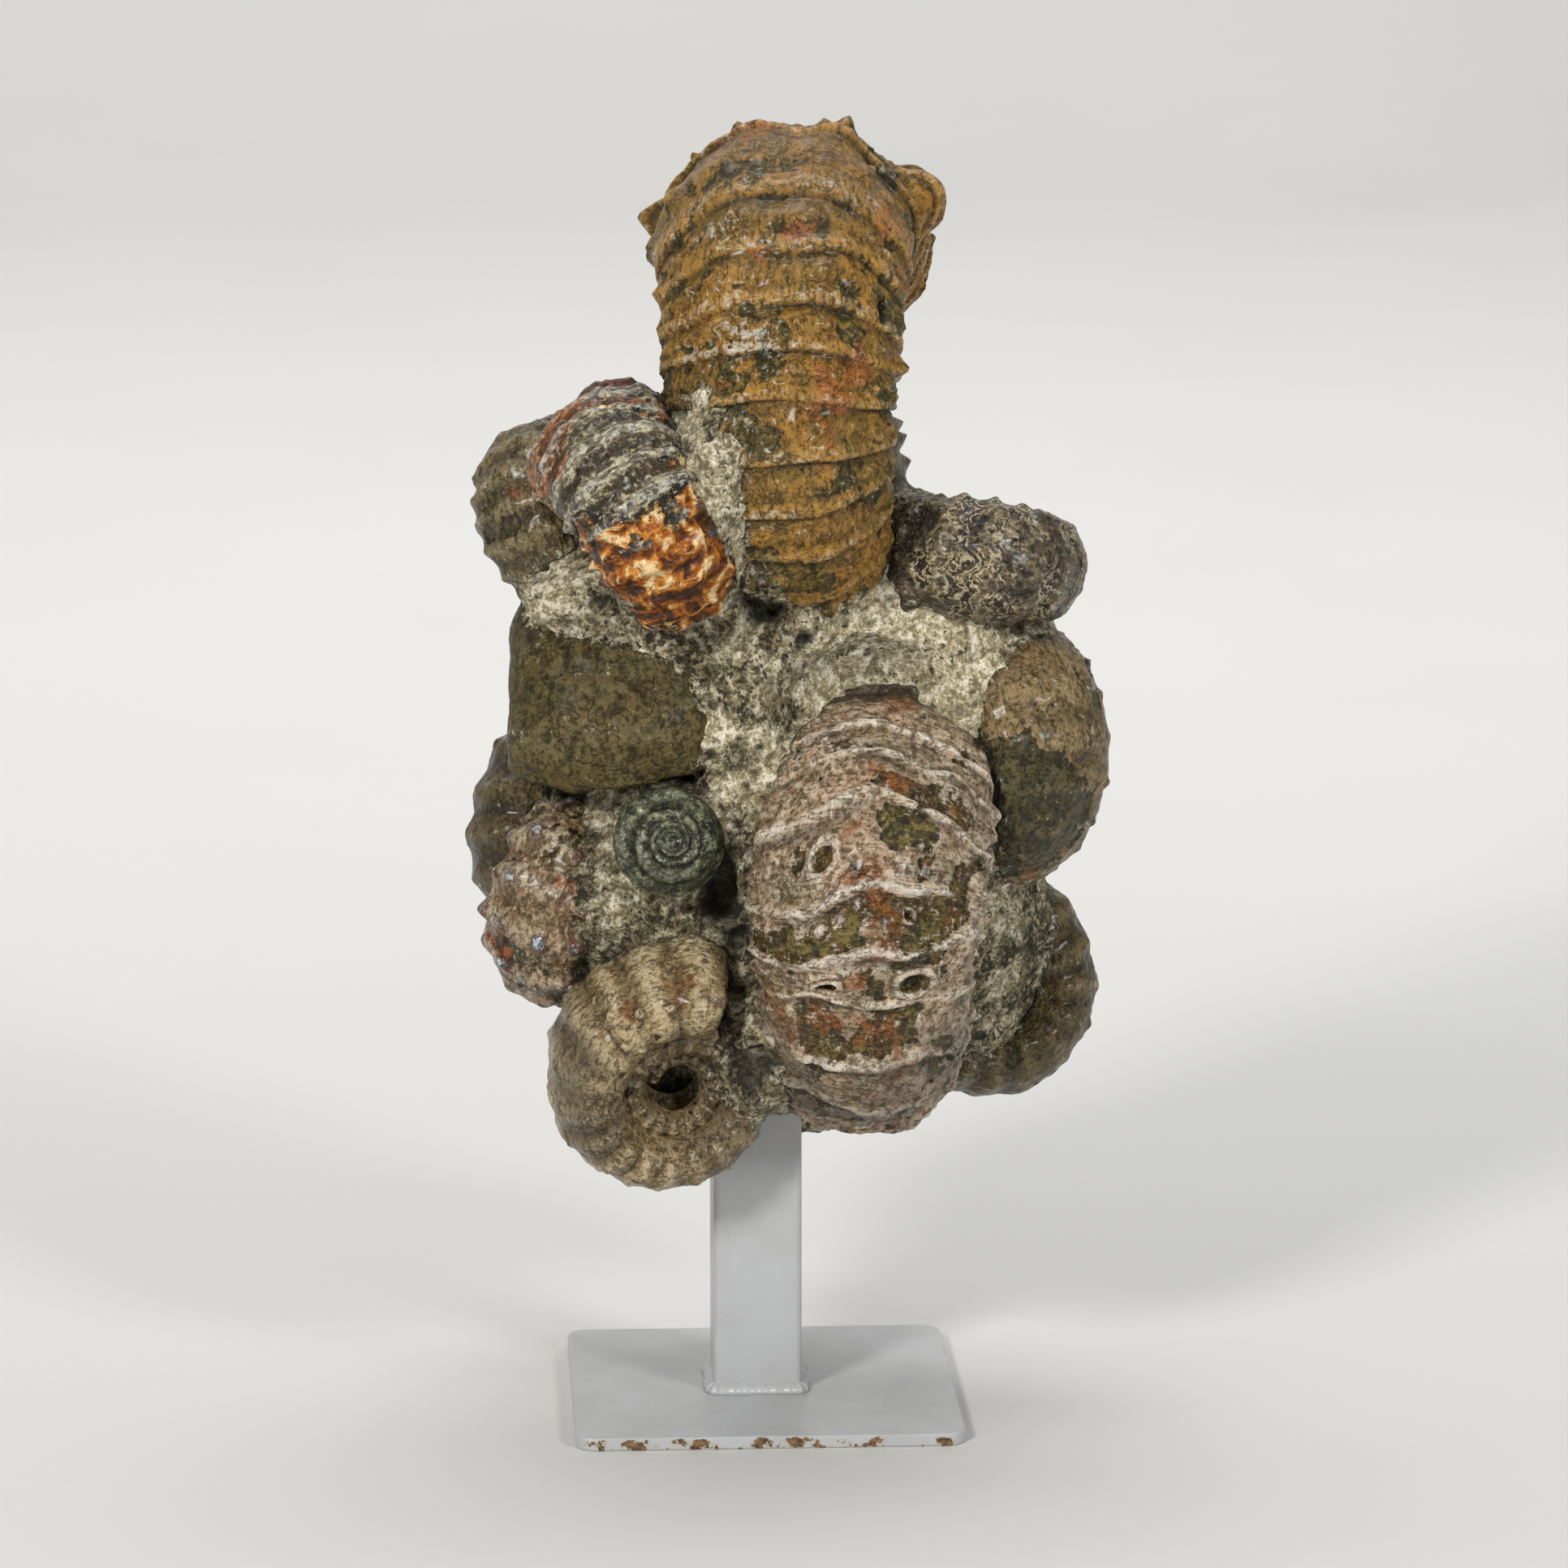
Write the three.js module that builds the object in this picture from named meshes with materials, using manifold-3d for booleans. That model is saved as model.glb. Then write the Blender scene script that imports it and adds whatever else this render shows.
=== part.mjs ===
// Ammonite fossil cluster on a welded steel stand, in millimetres, +Z up.
// The origin is the centre of the plate's underside, and the cluster's front faces -Y.
// Sixteen fossil shells stand out of one lumpy block of sandstone, which sits on a square post.
import * as THREE from "three";
import { ParametricGeometry } from "three/addons/geometries/ParametricGeometry.js";
import { mergeVertices } from "three/addons/utils/BufferGeometryUtils.js";
import Module from "manifold-3d";

const wasm = await Module();
wasm.setup();

// ---- driving dimensions ----

const PLATE_SIDE = 87;
const PLATE_THICK = 3;
const PLATE_CORNER = 4.5;
const POST_SIDE = 20;
const POST_CORNER = 1.6;
const POST_TOP = 96;
const POST_X = -1.5;
const WELD_LEG = 2.6;
const GAP = 0.3; // left between a piece and what it is cut by

// Where points lie round a whorl's section, in degrees from its outer edge, and how tall the
// knobs of that row are beside the shell's own knob height. The last row is the coil's hub.
const FINE_ROWS = [
  { at: 14, knob: 1.1 },
  { at: 31, knob: 0 },
  { at: 48, knob: 0.9 },
  { at: 88, knob: 2 },
  { at: 120, knob: 0 },
  { at: 170, knob: 0, hub: true },
];
const PLAIN_ROWS = [
  { at: 16, knob: 0.5 },
  { at: 53, knob: 1.2 },
  { at: 94, knob: 1.8 },
  { at: 170, knob: 0, hub: true },
];
const HUB_RADIUS = 0.1;
const HUB_BREADTH = 0.35;

// A shell is placed by the centre of its coil, the direction of its coiling axis and the
// direction from there to its mouth. Radius, height and breadth are taken at the mouth, and all
// but the breadth shrink by "growth" with each turn back; the breadth shrinks by "widening".
const SHELLS = [
  {
    name: "ammonite_top", colour: 0x8c6c3a, centre: [7, 10, 223], axis: [1, -0.11, 0.02],
    mouth: [0, 0.72, 0.69], coil: -1, radius: 68.4, height: 51, breadth: 61, growth: 1.8,
    widening: 1.95, ribs: 28, ribbed: 0.8, rib: 2, knob: 1.4, rows: FINE_ROWS,
  },
  {
    name: "ammonite_centre", colour: 0xa08878, centre: [23, -6, 109], axis: [1, -0.06, -0.03],
    mouth: [0, 0.57, 0.82], coil: -1, radius: 63.5, height: 47, breadth: 61, growth: 1.9,
    widening: 2.1, ribs: 25, ribbed: 0.62, rib: 1.7, knob: 0.9, rows: FINE_ROWS,
  },
  {
    name: "ammonite_amber", colour: 0xa0622a, centre: [-26.5, -28, 205.6], axis: [0.88, 0.05, 0.47],
    mouth: [-0.35, 0.75, 0.57], coil: -1, radius: 33, height: 26, breadth: 35, growth: 1.8,
    widening: 1.8, ribs: 20, ribbed: 0.7, rib: 1.2, knob: 0.8, rows: PLAIN_ROWS,
  },
  {
    name: "ammonite_sutured", colour: 0x4b3f48, centre: [50, 2, 191], axis: [0.1, 0.2, 0.97],
    mouth: [-0.7, 0.71, 0], coil: -1, radius: 32, height: 25, breadth: 32, growth: 1.8,
    widening: 1.8, ribs: 15, ribbed: 0.78, rib: 0.8, knob: 0.5, rows: PLAIN_ROWS,
  },
  {
    name: "ammonite_right", colour: 0x6a5a45, centre: [51, 5, 144], axis: [0.87, 0.49, -0.1],
    mouth: [-0.1, 0.4, 0.91], coil: -1, radius: 38, height: 29, breadth: 40, growth: 1.8,
    widening: 1.8, ribs: 18, ribbed: 0.72, rib: 1.2, knob: 0.9, rows: PLAIN_ROWS,
  },
  {
    name: "ammonite_olive", colour: 0x4c4a34, centre: [-32, 6, 159], axis: [0.99, -0.03, 0.1],
    mouth: [0.08, -0.95, -0.3], coil: 1, radius: 37, height: 30, breadth: 50, growth: 1.6,
    widening: 1.6, ribs: 10, ribbed: 0.6, rib: 0.4, knob: 0, rows: PLAIN_ROWS,
  },
  {
    name: "ammonite_spiral", colour: 0x85765a, centre: [-20.5, -22, 80], axis: [0.13, -0.97, -0.21],
    mouth: [0.3, -0.17, 0.94], coil: -1, radius: 34, height: 24, breadth: 38, growth: 1.8,
    widening: 1.8, ribs: 18, ribbed: 1, rib: 1.4, knob: 0.7, rows: PLAIN_ROWS,
  },
  {
    name: "ammonite_low_right", colour: 0x6b6148, centre: [50, 12, 91], axis: [0.3, -0.93, 0.2],
    mouth: [-0.5, -0.1, 0.85], coil: 1, radius: 31, height: 24, breadth: 32, growth: 1.5,
    widening: 1.4, ribs: 16, ribbed: 0.62, rib: 1, knob: 0.6, rows: PLAIN_ROWS,
  },
  {
    name: "ammonite_knobby", colour: 0x6e4c3a, centre: [-42, -2, 114.5], axis: [0.82, -0.48, -0.3],
    mouth: [0.5, 0.56, 0.65], coil: -1, radius: 29, height: 23, breadth: 31, growth: 1.6,
    widening: 1.6, ribs: 14, ribbed: 0.6, rib: 1.3, knob: 1.7, rows: PLAIN_ROWS,
  },
  {
    name: "ammonite_left_shoulder", colour: 0x6d675c, centre: [-45, 4, 200.5],
    axis: [0.76, -0.49, 0.42], mouth: [-0.04, 0.61, 0.79], coil: -1, radius: 24, height: 18,
    breadth: 28, growth: 1.8, widening: 1.8, ribs: 16, ribbed: 0.58, rib: 1.2, knob: 0.8,
    rows: PLAIN_ROWS,
  },
  {
    name: "ammonite_left_edge", colour: 0x5f574b, centre: [-38, 20, 125],
    axis: [0.45, -0.85, 0.2], mouth: [0.6, 0.3, 0.75], coil: -1, radius: 33, height: 25,
    breadth: 30, growth: 1.5, widening: 1.5, ribs: 16, ribbed: 0.55, rib: 1.5, knob: 0.8,
    rows: PLAIN_ROWS,
  },
  {
    name: "ammonite_dark_nucleus", colour: 0x2f3a33, centre: [-22, -31.5, 136],
    axis: [0.05, -0.98, 0.2], mouth: [0, 0.2, 0.98], coil: 1, radius: 12.5, height: 9,
    breadth: 18, growth: 1.8, widening: 1.8, ribs: 8, ribbed: 1, rib: 0.2, knob: 0,
    rows: PLAIN_ROWS,
  },
  {
    name: "ammonite_behind_top", colour: 0x66645e, centre: [21, 43, 202],
    axis: [1, 0.1, 0.1], mouth: [0, 0.8, -0.6], coil: 1, radius: 28, height: 22,
    breadth: 31, growth: 1.6, widening: 1.6, ribs: 14, ribbed: 0.6, rib: 1.4, knob: 1.4,
    rows: PLAIN_ROWS,
  },
  {
    name: "ammonite_red_edge", colour: 0x6a3524, centre: [-31, 32, 212], axis: [0.91, 0.41, 0],
    mouth: [-0.3, 0.8, -0.5], coil: 1, radius: 22, height: 17, breadth: 24, growth: 1.6,
    widening: 1.6, ribs: 16, ribbed: 0.4, rib: 0.9, knob: 0.5, rows: PLAIN_ROWS,
  },
  {
    name: "ammonite_back_middle", colour: 0x877048, centre: [14, 40, 152],
    axis: [-0.97, 0.1, 0.24], mouth: [0.22, -0.22, 0.95], coil: -1, radius: 42, height: 33,
    breadth: 46, growth: 1.8, widening: 1.8, ribs: 17, ribbed: 0.62, rib: 1.5, knob: 1.2,
    rows: PLAIN_ROWS,
  },
  {
    name: "ammonite_back_low", colour: 0x776a58, centre: [-16, 46, 92], axis: [0.27, 0.91, -0.32],
    mouth: [-0.89, 0.36, 0.27], coil: -1, radius: 33, height: 25, breadth: 36, growth: 1.8,
    widening: 1.8, ribs: 14, ribbed: 1, rib: 1.3, knob: 0.8, rows: PLAIN_ROWS,
  },
];

// The block of sandstone is five swellings that run into one another. The shells stand out of
// it, each as far as it is laid bare, and end at the block's face.
const SWELLINGS = [
  { centre: [2, 13, 122], radii: [50, 43, 64] },
  { centre: [-8, 15, 186], radii: [41, 42, 36] },
  { centre: [36, 10, 164], radii: [32, 30, 32] },
  { centre: [38, 10, 112], radii: [27, 27, 40] },
  { centre: [-11, -25, 214], radii: [9, 15, 25] },
];

// ---- solids ----

// A closed geometry as a solid whose faces point outwards.
function solidOf(geometry) {
  for (const attribute of Object.keys(geometry.attributes)) {
    if (attribute !== "position") geometry.deleteAttribute(attribute);
  }
  const merged = mergeVertices(geometry, 1e-3);
  const corners = merged.index.array;
  const triVerts = [];
  for (let i = 0; i < corners.length; i += 3) {
    const [a, b, c] = corners.slice(i, i + 3);
    if (a !== b && b !== c && c !== a) triVerts.push(a, b, c);
  }
  return new wasm.Manifold(
    new wasm.Mesh({
      numProp: 3,
      vertProperties: merged.attributes.position.array,
      triVerts: new Uint32Array(triVerts),
    }),
  );
}

// The largest body of a solid, without the crumbs that a cut leaves.
function largestOf(solid) {
  const bodies = solid.decompose();
  bodies.sort((a, b) => b.volume() - a.volume());
  return bodies[0];
}

function meshOf(name, solid, material) {
  const { vertProperties, triVerts } = solid.getMesh();
  const geometry = new THREE.BufferGeometry();
  geometry.setAttribute("position", new THREE.BufferAttribute(vertProperties, 3));
  geometry.setIndex(new THREE.BufferAttribute(triVerts, 1));
  geometry.computeVertexNormals();
  const mesh = new THREE.Mesh(geometry, material);
  mesh.name = name;
  return mesh;
}

// ---- shells ----

// The turned frame of a shell: x to the mouth, z along the coiling axis.
function frameOf(shell) {
  const axis = new THREE.Vector3(...shell.axis).normalize();
  const mouth = new THREE.Vector3(...shell.mouth);
  mouth.addScaledVector(axis, -mouth.dot(axis)).normalize();
  const side = new THREE.Vector3().crossVectors(axis, mouth);
  return new THREE.Matrix4().makeBasis(mouth, side, axis).setPosition(...shell.centre);
}

// A length of whorl through the given rings, each {back, relief}: how far back from the mouth it
// lies, in turns, and how much of the ribs it has. Its section is swelled and then outset.
function whorl(shell, rings, rows, swell, outset) {
  const frame = frameOf(shell);
  const otherSide = rows.map((row) => ({ ...row, at: -row.at })).reverse();
  const rounds = [...rows, ...otherSide];
  const last = rings.length + 1;
  const place = (u, v, target) => {
    const i = Math.round(u * last);
    const ring = rings[THREE.MathUtils.clamp(i - 1, 0, rings.length - 1)];
    const round = rounds[Math.round(v * rounds.length) % rounds.length];
    const size = shell.growth ** -ring.back;
    const halfHeight = (shell.height / 2) * size;
    const halfBreadth = (shell.breadth / 2) * shell.widening ** -ring.back;
    const raised = (shell.rib + shell.knob * round.knob) * Math.sqrt(size) * ring.relief;
    const angle = THREE.MathUtils.degToRad(round.at);
    const middle = shell.radius * size - halfHeight;
    let radius = middle + Math.cos(angle) * (halfHeight * swell + raised + outset);
    let across = Math.sin(angle) * (halfBreadth * swell + raised + outset);
    if (round.hub) {
      radius = HUB_RADIUS * shell.radius * size;
      across = Math.sign(angle) * (HUB_BREADTH * halfBreadth + outset);
    }
    if (i === 0 || i === last) {
      radius = middle;
      across = 0;
    }
    const turn = -shell.coil * ring.back * 2 * Math.PI;
    target.set(radius * Math.cos(turn), radius * Math.sin(turn), across).applyMatrix4(frame);
  };
  const geometry = new ParametricGeometry(place, last, rounds.length);
  if (shell.coil > 0) geometry.index.array.reverse();
  return solidOf(geometry);
}

// A groove ring and a crest ring for each rib, from one rib to another.
function ribRings(shell, first, end) {
  const rings = [];
  for (let k = first; k < end; k++) {
    rings.push({ back: (k + 0.15) / shell.ribs, relief: 0 });
    rings.push({ back: (k + 0.55) / shell.ribs, relief: 1 });
  }
  return rings;
}

// A shell that is laid bare all round is made in two lengths, which meet at both ends.
function shellSolid(shell) {
  const count = Math.round(shell.ribs * shell.ribbed);
  if (shell.ribbed < 1) return whorl(shell, ribRings(shell, 0, count), shell.rows, 1, 0);
  const half = Math.round(count / 2);
  const front = whorl(shell, ribRings(shell, 0, half), shell.rows, 1, 0);
  const rest = ribRings(shell, half - 1, count);
  rest[0].relief = -0.5;
  rest[1].relief = 0.5;
  return front.add(whorl(shell, rest, shell.rows, 1, 0));
}

// A smooth disc that clears the shell's ribs and knobs. Its neighbours are cut by it.
const CLEAR_ROWS = [
  { at: 22.5, knob: 0.9 },
  { at: 67.5, knob: 2 },
  { at: 112.5, knob: 2 },
  { at: 170, knob: 0, hub: true },
];
const CLEAR_SWELL = 1 / Math.cos(Math.PI / 8);
const CLEAR_STEP = 1 / 10;

function clearance(shell) {
  const rings = [];
  for (let k = 0; k < 1 / CLEAR_STEP; k++) rings.push({ back: k * CLEAR_STEP, relief: 1 });
  rings.push({ back: 0.98, relief: 1 });
  const chord = 1.2 * shell.radius * (1 - Math.cos(Math.PI * CLEAR_STEP));
  return whorl(shell, rings, CLEAR_ROWS, CLEAR_SWELL, chord + GAP);
}

// ---- sandstone ----

// A lumpy ball: the radii swell and sink in a few waves round and up it.
const SWELLING_ROUND = 12;
const SWELLING_UP = 8;
const LUMP = 0.05;

function swellingSolid({ centre, radii }, outset) {
  const place = (u, v, target) => {
    const around = (Math.round(u * SWELLING_ROUND) % SWELLING_ROUND) / SWELLING_ROUND;
    const a = around * 2 * Math.PI;
    const b = (v - 0.5) * Math.PI;
    const lumps = Math.sin(5 * a + centre[2]) * Math.cos(4 * b) + Math.sin(3 * a - 6 * b);
    const size = 1 + LUMP * Math.cos(b) * lumps;
    const flat = v === 0 || v === 1 ? 0 : Math.cos(b);
    target.set(
      centre[0] + (radii[0] + outset) * size * flat * Math.cos(a),
      centre[1] + (radii[1] + outset) * size * flat * Math.sin(a),
      centre[2] + (radii[2] + outset) * size * Math.sin(b),
    );
  };
  return solidOf(new ParametricGeometry(place, SWELLING_ROUND, SWELLING_UP));
}

// ---- stand ----

function roundedSquare(side, corner) {
  const half = side / 2;
  const middle = half - corner;
  const shape = new THREE.Shape();
  shape.absarc(middle, middle, corner, 0, Math.PI / 2);
  shape.absarc(-middle, middle, corner, Math.PI / 2, Math.PI);
  shape.absarc(-middle, -middle, corner, Math.PI, 1.5 * Math.PI);
  shape.absarc(middle, -middle, corner, 1.5 * Math.PI, 2 * Math.PI);
  return shape;
}

function prism(side, corner, bottom, top, segments) {
  const shape = roundedSquare(side, corner);
  const options = { depth: top - bottom, bevelEnabled: false, curveSegments: segments };
  return new THREE.ExtrudeGeometry(shape, options).translate(0, 0, bottom);
}

function plateSolid() {
  return solidOf(prism(PLATE_SIDE, PLATE_CORNER, 0, PLATE_THICK, 3));
}

// The tube with the weld bead round its foot, which leans in like a roof on all four sides.
function postSolid() {
  const tube = solidOf(prism(POST_SIDE, POST_CORNER, PLATE_THICK, POST_TOP, 3).translate(POST_X, 0, 0));
  const foot = (POST_SIDE / 2 + WELD_LEG) * Math.SQRT2;
  const bead = new THREE.CylinderGeometry(foot - WELD_LEG * Math.SQRT2, foot, WELD_LEG, 4);
  bead.rotateX(Math.PI / 2).rotateZ(Math.PI / 4);
  bead.translate(POST_X, 0, PLATE_THICK + WELD_LEG / 2);
  return tube.add(solidOf(bead));
}

// ---- the whole ----

const cluster = new THREE.Group();

// The hole that the post stands in is drilled up into the stone, through any shell on its way.
const holeSide = POST_SIDE + 2 * GAP;
const hole = prism(holeSide, POST_CORNER + GAP, 0, POST_TOP + GAP, 3).translate(POST_X, 0, 0);

function blockSolid(outset) {
  return SWELLINGS.map((swelling) => swellingSolid(swelling, outset)).reduce((a, b) => a.add(b));
}

const cutters = [solidOf(hole), blockSolid(GAP)];
for (const shell of SHELLS) {
  let solid = shellSolid(shell);
  for (const cutter of cutters) solid = solid.subtract(cutter);
  cutters.push(clearance(shell));
  const material = new THREE.MeshStandardMaterial({ color: shell.colour, roughness: 0.55 });
  cluster.add(meshOf(shell.name, largestOf(solid), material));
}

const sandstone = new THREE.MeshStandardMaterial({ color: 0x9a9484, roughness: 0.95 });
cluster.add(meshOf("sandstone_matrix", blockSolid(0).subtract(solidOf(hole)), sandstone));

const whitePaint = new THREE.MeshStandardMaterial({ color: 0xe9e9e6, roughness: 0.45 });
cluster.add(meshOf("stand_post", postSolid(), whitePaint));
cluster.add(meshOf("stand_plate", plateSolid(), whitePaint));

export default cluster;
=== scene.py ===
# Ammonite fossil cluster on a welded steel stand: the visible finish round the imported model.
# Sizes are in millimetres in the shapes and turned into metres as each mesh is made.
from collections import namedtuple

import bpy
import numpy as np
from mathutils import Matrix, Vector


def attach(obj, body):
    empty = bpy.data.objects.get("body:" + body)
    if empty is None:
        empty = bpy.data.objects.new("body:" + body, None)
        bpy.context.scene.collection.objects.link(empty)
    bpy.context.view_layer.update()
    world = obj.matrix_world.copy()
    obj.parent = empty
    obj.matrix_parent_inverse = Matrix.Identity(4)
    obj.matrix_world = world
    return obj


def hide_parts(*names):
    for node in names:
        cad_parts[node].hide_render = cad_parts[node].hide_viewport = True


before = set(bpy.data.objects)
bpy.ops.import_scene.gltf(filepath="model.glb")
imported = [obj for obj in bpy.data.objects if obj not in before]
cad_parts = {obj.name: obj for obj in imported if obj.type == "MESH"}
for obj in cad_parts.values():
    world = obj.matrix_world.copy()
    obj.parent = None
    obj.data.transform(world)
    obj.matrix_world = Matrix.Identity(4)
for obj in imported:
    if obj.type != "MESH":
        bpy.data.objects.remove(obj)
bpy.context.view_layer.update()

# ---- foot plate ----
# A square of 3 mm mild steel sheet with its corners rounded, sprayed with white gloss paint.
# The paint is worn through to rust in places along the front edge.

PLATE_SIDE = 87
PLATE_THICK = 3
PLATE_CORNER = 4.5
MM = 0.001


def rounded_square(side, corner, per_corner, per_side):
    """Outline of a square with round corners: each corner is a quarter circle about its own
    centre, and each side is a straight run to the next corner. Returns points in the plane."""
    half = side / 2 - corner
    turns = np.arange(4)[:, None] * np.pi / 2
    arc = turns + np.linspace(0, np.pi / 2, per_corner)[None, :]
    middle_x = half * np.sign(np.cos(turns + np.pi / 4))
    middle_y = half * np.sign(np.sin(turns + np.pi / 4))
    corners = np.stack([middle_x + corner * np.cos(arc), middle_y + corner * np.sin(arc)], -1)
    start = corners[:, -1:, :]
    end = np.roll(corners, -1, axis=0)[:, :1, :]
    run = np.linspace(0, 1, per_side + 2)[1:-1][None, :, None]
    sides = start + (end - start) * run
    return np.concatenate([corners, sides], axis=1).reshape(-1, 2)


def outline_normals(outline, step=1):
    """Unit normals of a closed outline: across the way from the point this many steps before
    each point to the one as many after it."""
    ahead = np.roll(outline, -step, axis=0) - np.roll(outline, step, axis=0)
    normal = np.stack([ahead[:, 1], -ahead[:, 0]], -1)
    return normal / np.linalg.norm(normal, axis=1, keepdims=True)


def stacked_rings(outline, rings):
    """A solid of rings: each ring is the outline moved in or out along its own normal by the
    first number and raised to the second. Returns an array of rings by points by three."""
    rings = np.asarray(rings, float)
    flat = outline[None] + outline_normals(outline)[None] * rings[:, 0, None, None]
    height = np.broadcast_to(rings[:, 1, None, None], flat.shape[:2] + (1,))
    return np.concatenate([flat, height], -1)


def placed(name, data):
    """A new object of the scene for a mesh, a light or a camera."""
    thing = bpy.data.objects.new(name, data)
    bpy.context.scene.collection.objects.link(thing)
    return thing


def new_piece(name, points, quads, fans=()):
    """A smooth mesh of points in millimetres, with faces of four corners and then of three."""
    fans = np.reshape(fans, (-1, 3)).astype(int)
    starts = [np.arange(len(quads)) * 4, quads.size + np.arange(len(fans)) * 3]
    mesh = bpy.data.meshes.new(name)
    mesh.vertices.add(len(points))
    mesh.vertices.foreach_set("co", (points * MM).astype(np.float32).ravel())
    mesh.loops.add(quads.size + fans.size)
    mesh.loops.foreach_set("vertex_index", np.concatenate([quads.ravel(), fans.ravel()]))
    mesh.polygons.add(len(quads) + len(fans))
    mesh.polygons.foreach_set("loop_start", np.concatenate(starts))
    mesh.update(calc_edges=True)
    mesh.shade_smooth()
    return placed(name, mesh)


def closed_mesh(name, grid, masks=None, first_pole=None, endless=False):
    """A mesh of a grid of rings, each closed round. Each end is closed by a fan of triangles to
    a pole, the middle of its ring unless told, or an endless mesh runs back into its first ring.
    The faces are turned so that the volume they enclose is positive."""
    points = grid.reshape(-1, 3)
    here = np.arange(len(points)).reshape(grid.shape[:2])
    if endless:
        here, fans = np.concatenate([here, here[:1]]), np.zeros((0, 3), int)
    beside = np.roll(here, -1, axis=1)
    if not endless:
        pole = np.full(here.shape[1], len(points))
        fans = np.concatenate([
            np.stack([beside[0], here[0], pole], -1), np.stack([here[-1], beside[-1], pole + 1], -1),
        ])
        first_pole = grid[0].mean(axis=0) if first_pole is None else first_pole
        points = np.concatenate([points, [first_pole], [grid[-1].mean(axis=0)]])
    quads = np.stack([here[:-1], beside[:-1], beside[1:], here[1:]], -1).reshape(-1, 4)
    corner = points[quads]
    volume = 0.0
    for second, third in ((1, 2), (2, 3)):
        crossed = np.cross(corner[:, second], corner[:, third])
        volume += np.einsum("ij,ij->i", corner[:, 0], crossed).sum()
    if volume < 0:
        quads, fans = quads[:, ::-1], fans[:, ::-1]
    piece = new_piece(name, points, quads, fans)
    for mask, values in (masks or {}).items():
        ends = [values[0].mean(), values[-1].mean()]
        paint_mask(piece.data, mask, np.concatenate([values.ravel(), ends]))
    piece.data.validate()
    return piece


def paint_mask(mesh, name, values):
    """Keeps one number for each point of the mesh under a name that a material can read."""
    mask = mesh.attributes.new(name, "FLOAT", "POINT")
    mask.data.foreach_set("value", np.asarray(values, np.float32))


def tint(code):
    """A colour as a six-digit code in the usual screen scale, turned into linear light."""
    shares = np.array([int(code[i : i + 2], 16) for i in (0, 2, 4)]) / 255
    linear = np.where(shares <= 0.04045, shares / 12.92, ((shares + 0.055) / 1.055) ** 2.4)
    return (*linear.tolist(), 1.0)


class Wire:
    """What a node gives out. Sums and products of wires add the nodes that work them out."""

    def __init__(self, socket):
        self.socket = socket
        self.tree = socket.id_data

    def __add__(self, other):
        return calc("ADD", self, other)

    def __sub__(self, other):
        return calc("SUBTRACT", self, other)

    def __mul__(self, other):
        return calc("MULTIPLY", self, other)


def node(kind, inputs, out=0, tree=None, **settings):
    """Adds a node with its settings to the tree of the wires that it takes. Its inputs are told
    by name or by place, each a value or a wire. Returns the wire of one of its outputs."""
    if tree is None:
        tree = next(value.tree for value in inputs.values() if isinstance(value, Wire))
    made = tree.nodes.new("ShaderNode" + kind)
    for key, value in settings.items():
        setattr(made, key, value)
    for place, value in inputs.items():
        if isinstance(value, Wire):
            tree.links.new(value.socket, made.inputs[place])
        else:
            made.inputs[place].default_value = value
    return Wire(made.outputs[out]) if made.outputs else None


def calc(operation, *values):
    """One step of arithmetic on numbers or wires."""
    return node("Math", dict(enumerate(values)), operation=operation)


def between(value, low, high, bottom=0.0, top=1.0):
    """Carries a value from low..high on to bottom..top, and holds it at both ends."""
    return node("MapRange", dict(enumerate((value, low, high, bottom, top))))


def mixed(share, under, over):
    """Lays one colour over another by a share from 0 to 1."""
    return node("Mix", {0: share, 6: under, 7: over}, 2, data_type="RGBA")


def noise(where, scale, detail=3.0, rough=0.55, bend=0.0):
    """A cloudy pattern with this many waves in a metre, from 0 to 1."""
    wanted = {"Scale": scale, "Detail": detail, "Roughness": rough, "Distortion": bend}
    return node("TexNoise", {"Vector": where, **wanted})


def new_material(piece, name):
    """Gives a piece an empty material. Returns the wire of the place on the object."""
    material = bpy.data.materials.new(name)
    material.use_nodes = True
    material.node_tree.nodes.clear()
    piece.data.materials.append(material)
    return node("TexCoord", {}, "Object", material.node_tree)


def read_mask(where, name):
    """The wire of a mask that the mesh carries, in the material that the place belongs to."""
    return node("Attribute", {}, "Fac", where.tree, attribute_name=name)


def finish_material(colour, roughness, height, depth, coat=None):
    """Ends a material: a Principled surface whose bumps are depth metres tall."""
    bumps = node("Bump", {"Height": height, "Distance": depth, "Strength": 1.0})
    surface = {"Base Color": colour, "Roughness": roughness, "Normal": bumps, **(coat or {})}
    node("OutputMaterial", {"Surface": node("BsdfPrincipled", surface)})


def white_paint(piece, name):
    """White gloss spray paint on steel: faint orange peel, dust and scuffs, and rust where a
    cloud crosses the worn band, which is measured by the worn mask of the mesh."""
    worn_low, worn_high = 0.86, 0.92
    where = new_material(piece, name)
    colour = mixed(between(noise(where, 45, 3, 0.6), 0.35, 0.7), tint("bcbebf"), tint("b0b1b0"))
    speck = between(noise(where, 1400, 1, 0.5), 0.7, 0.74)
    colour = mixed(speck * 0.35, colour, tint("8c8678"))
    patchy = read_mask(where, "worn") + between(noise(where, 160, 4, 0.7), 0.3, 0.7, -0.45, 0.45)
    rim = between(patchy, worn_low - 0.12, worn_low)
    colour = mixed(rim * 0.5, colour, tint("b9a988"))
    chipped = between(patchy, worn_low, worn_high)
    rust = mixed(between(noise(where, 900, 3, 0.6), 0.4, 0.6), tint("8a6a45"), tint("4d3a28"))
    colour = mixed(chipped, colour, rust)
    peel = noise(where, 380, 2, 0.5)
    roughness = between(chipped, 0, 1, 0.34, 0.8)
    finish_material(colour, roughness, peel * 0.35 - chipped, 0.00018)


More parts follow.
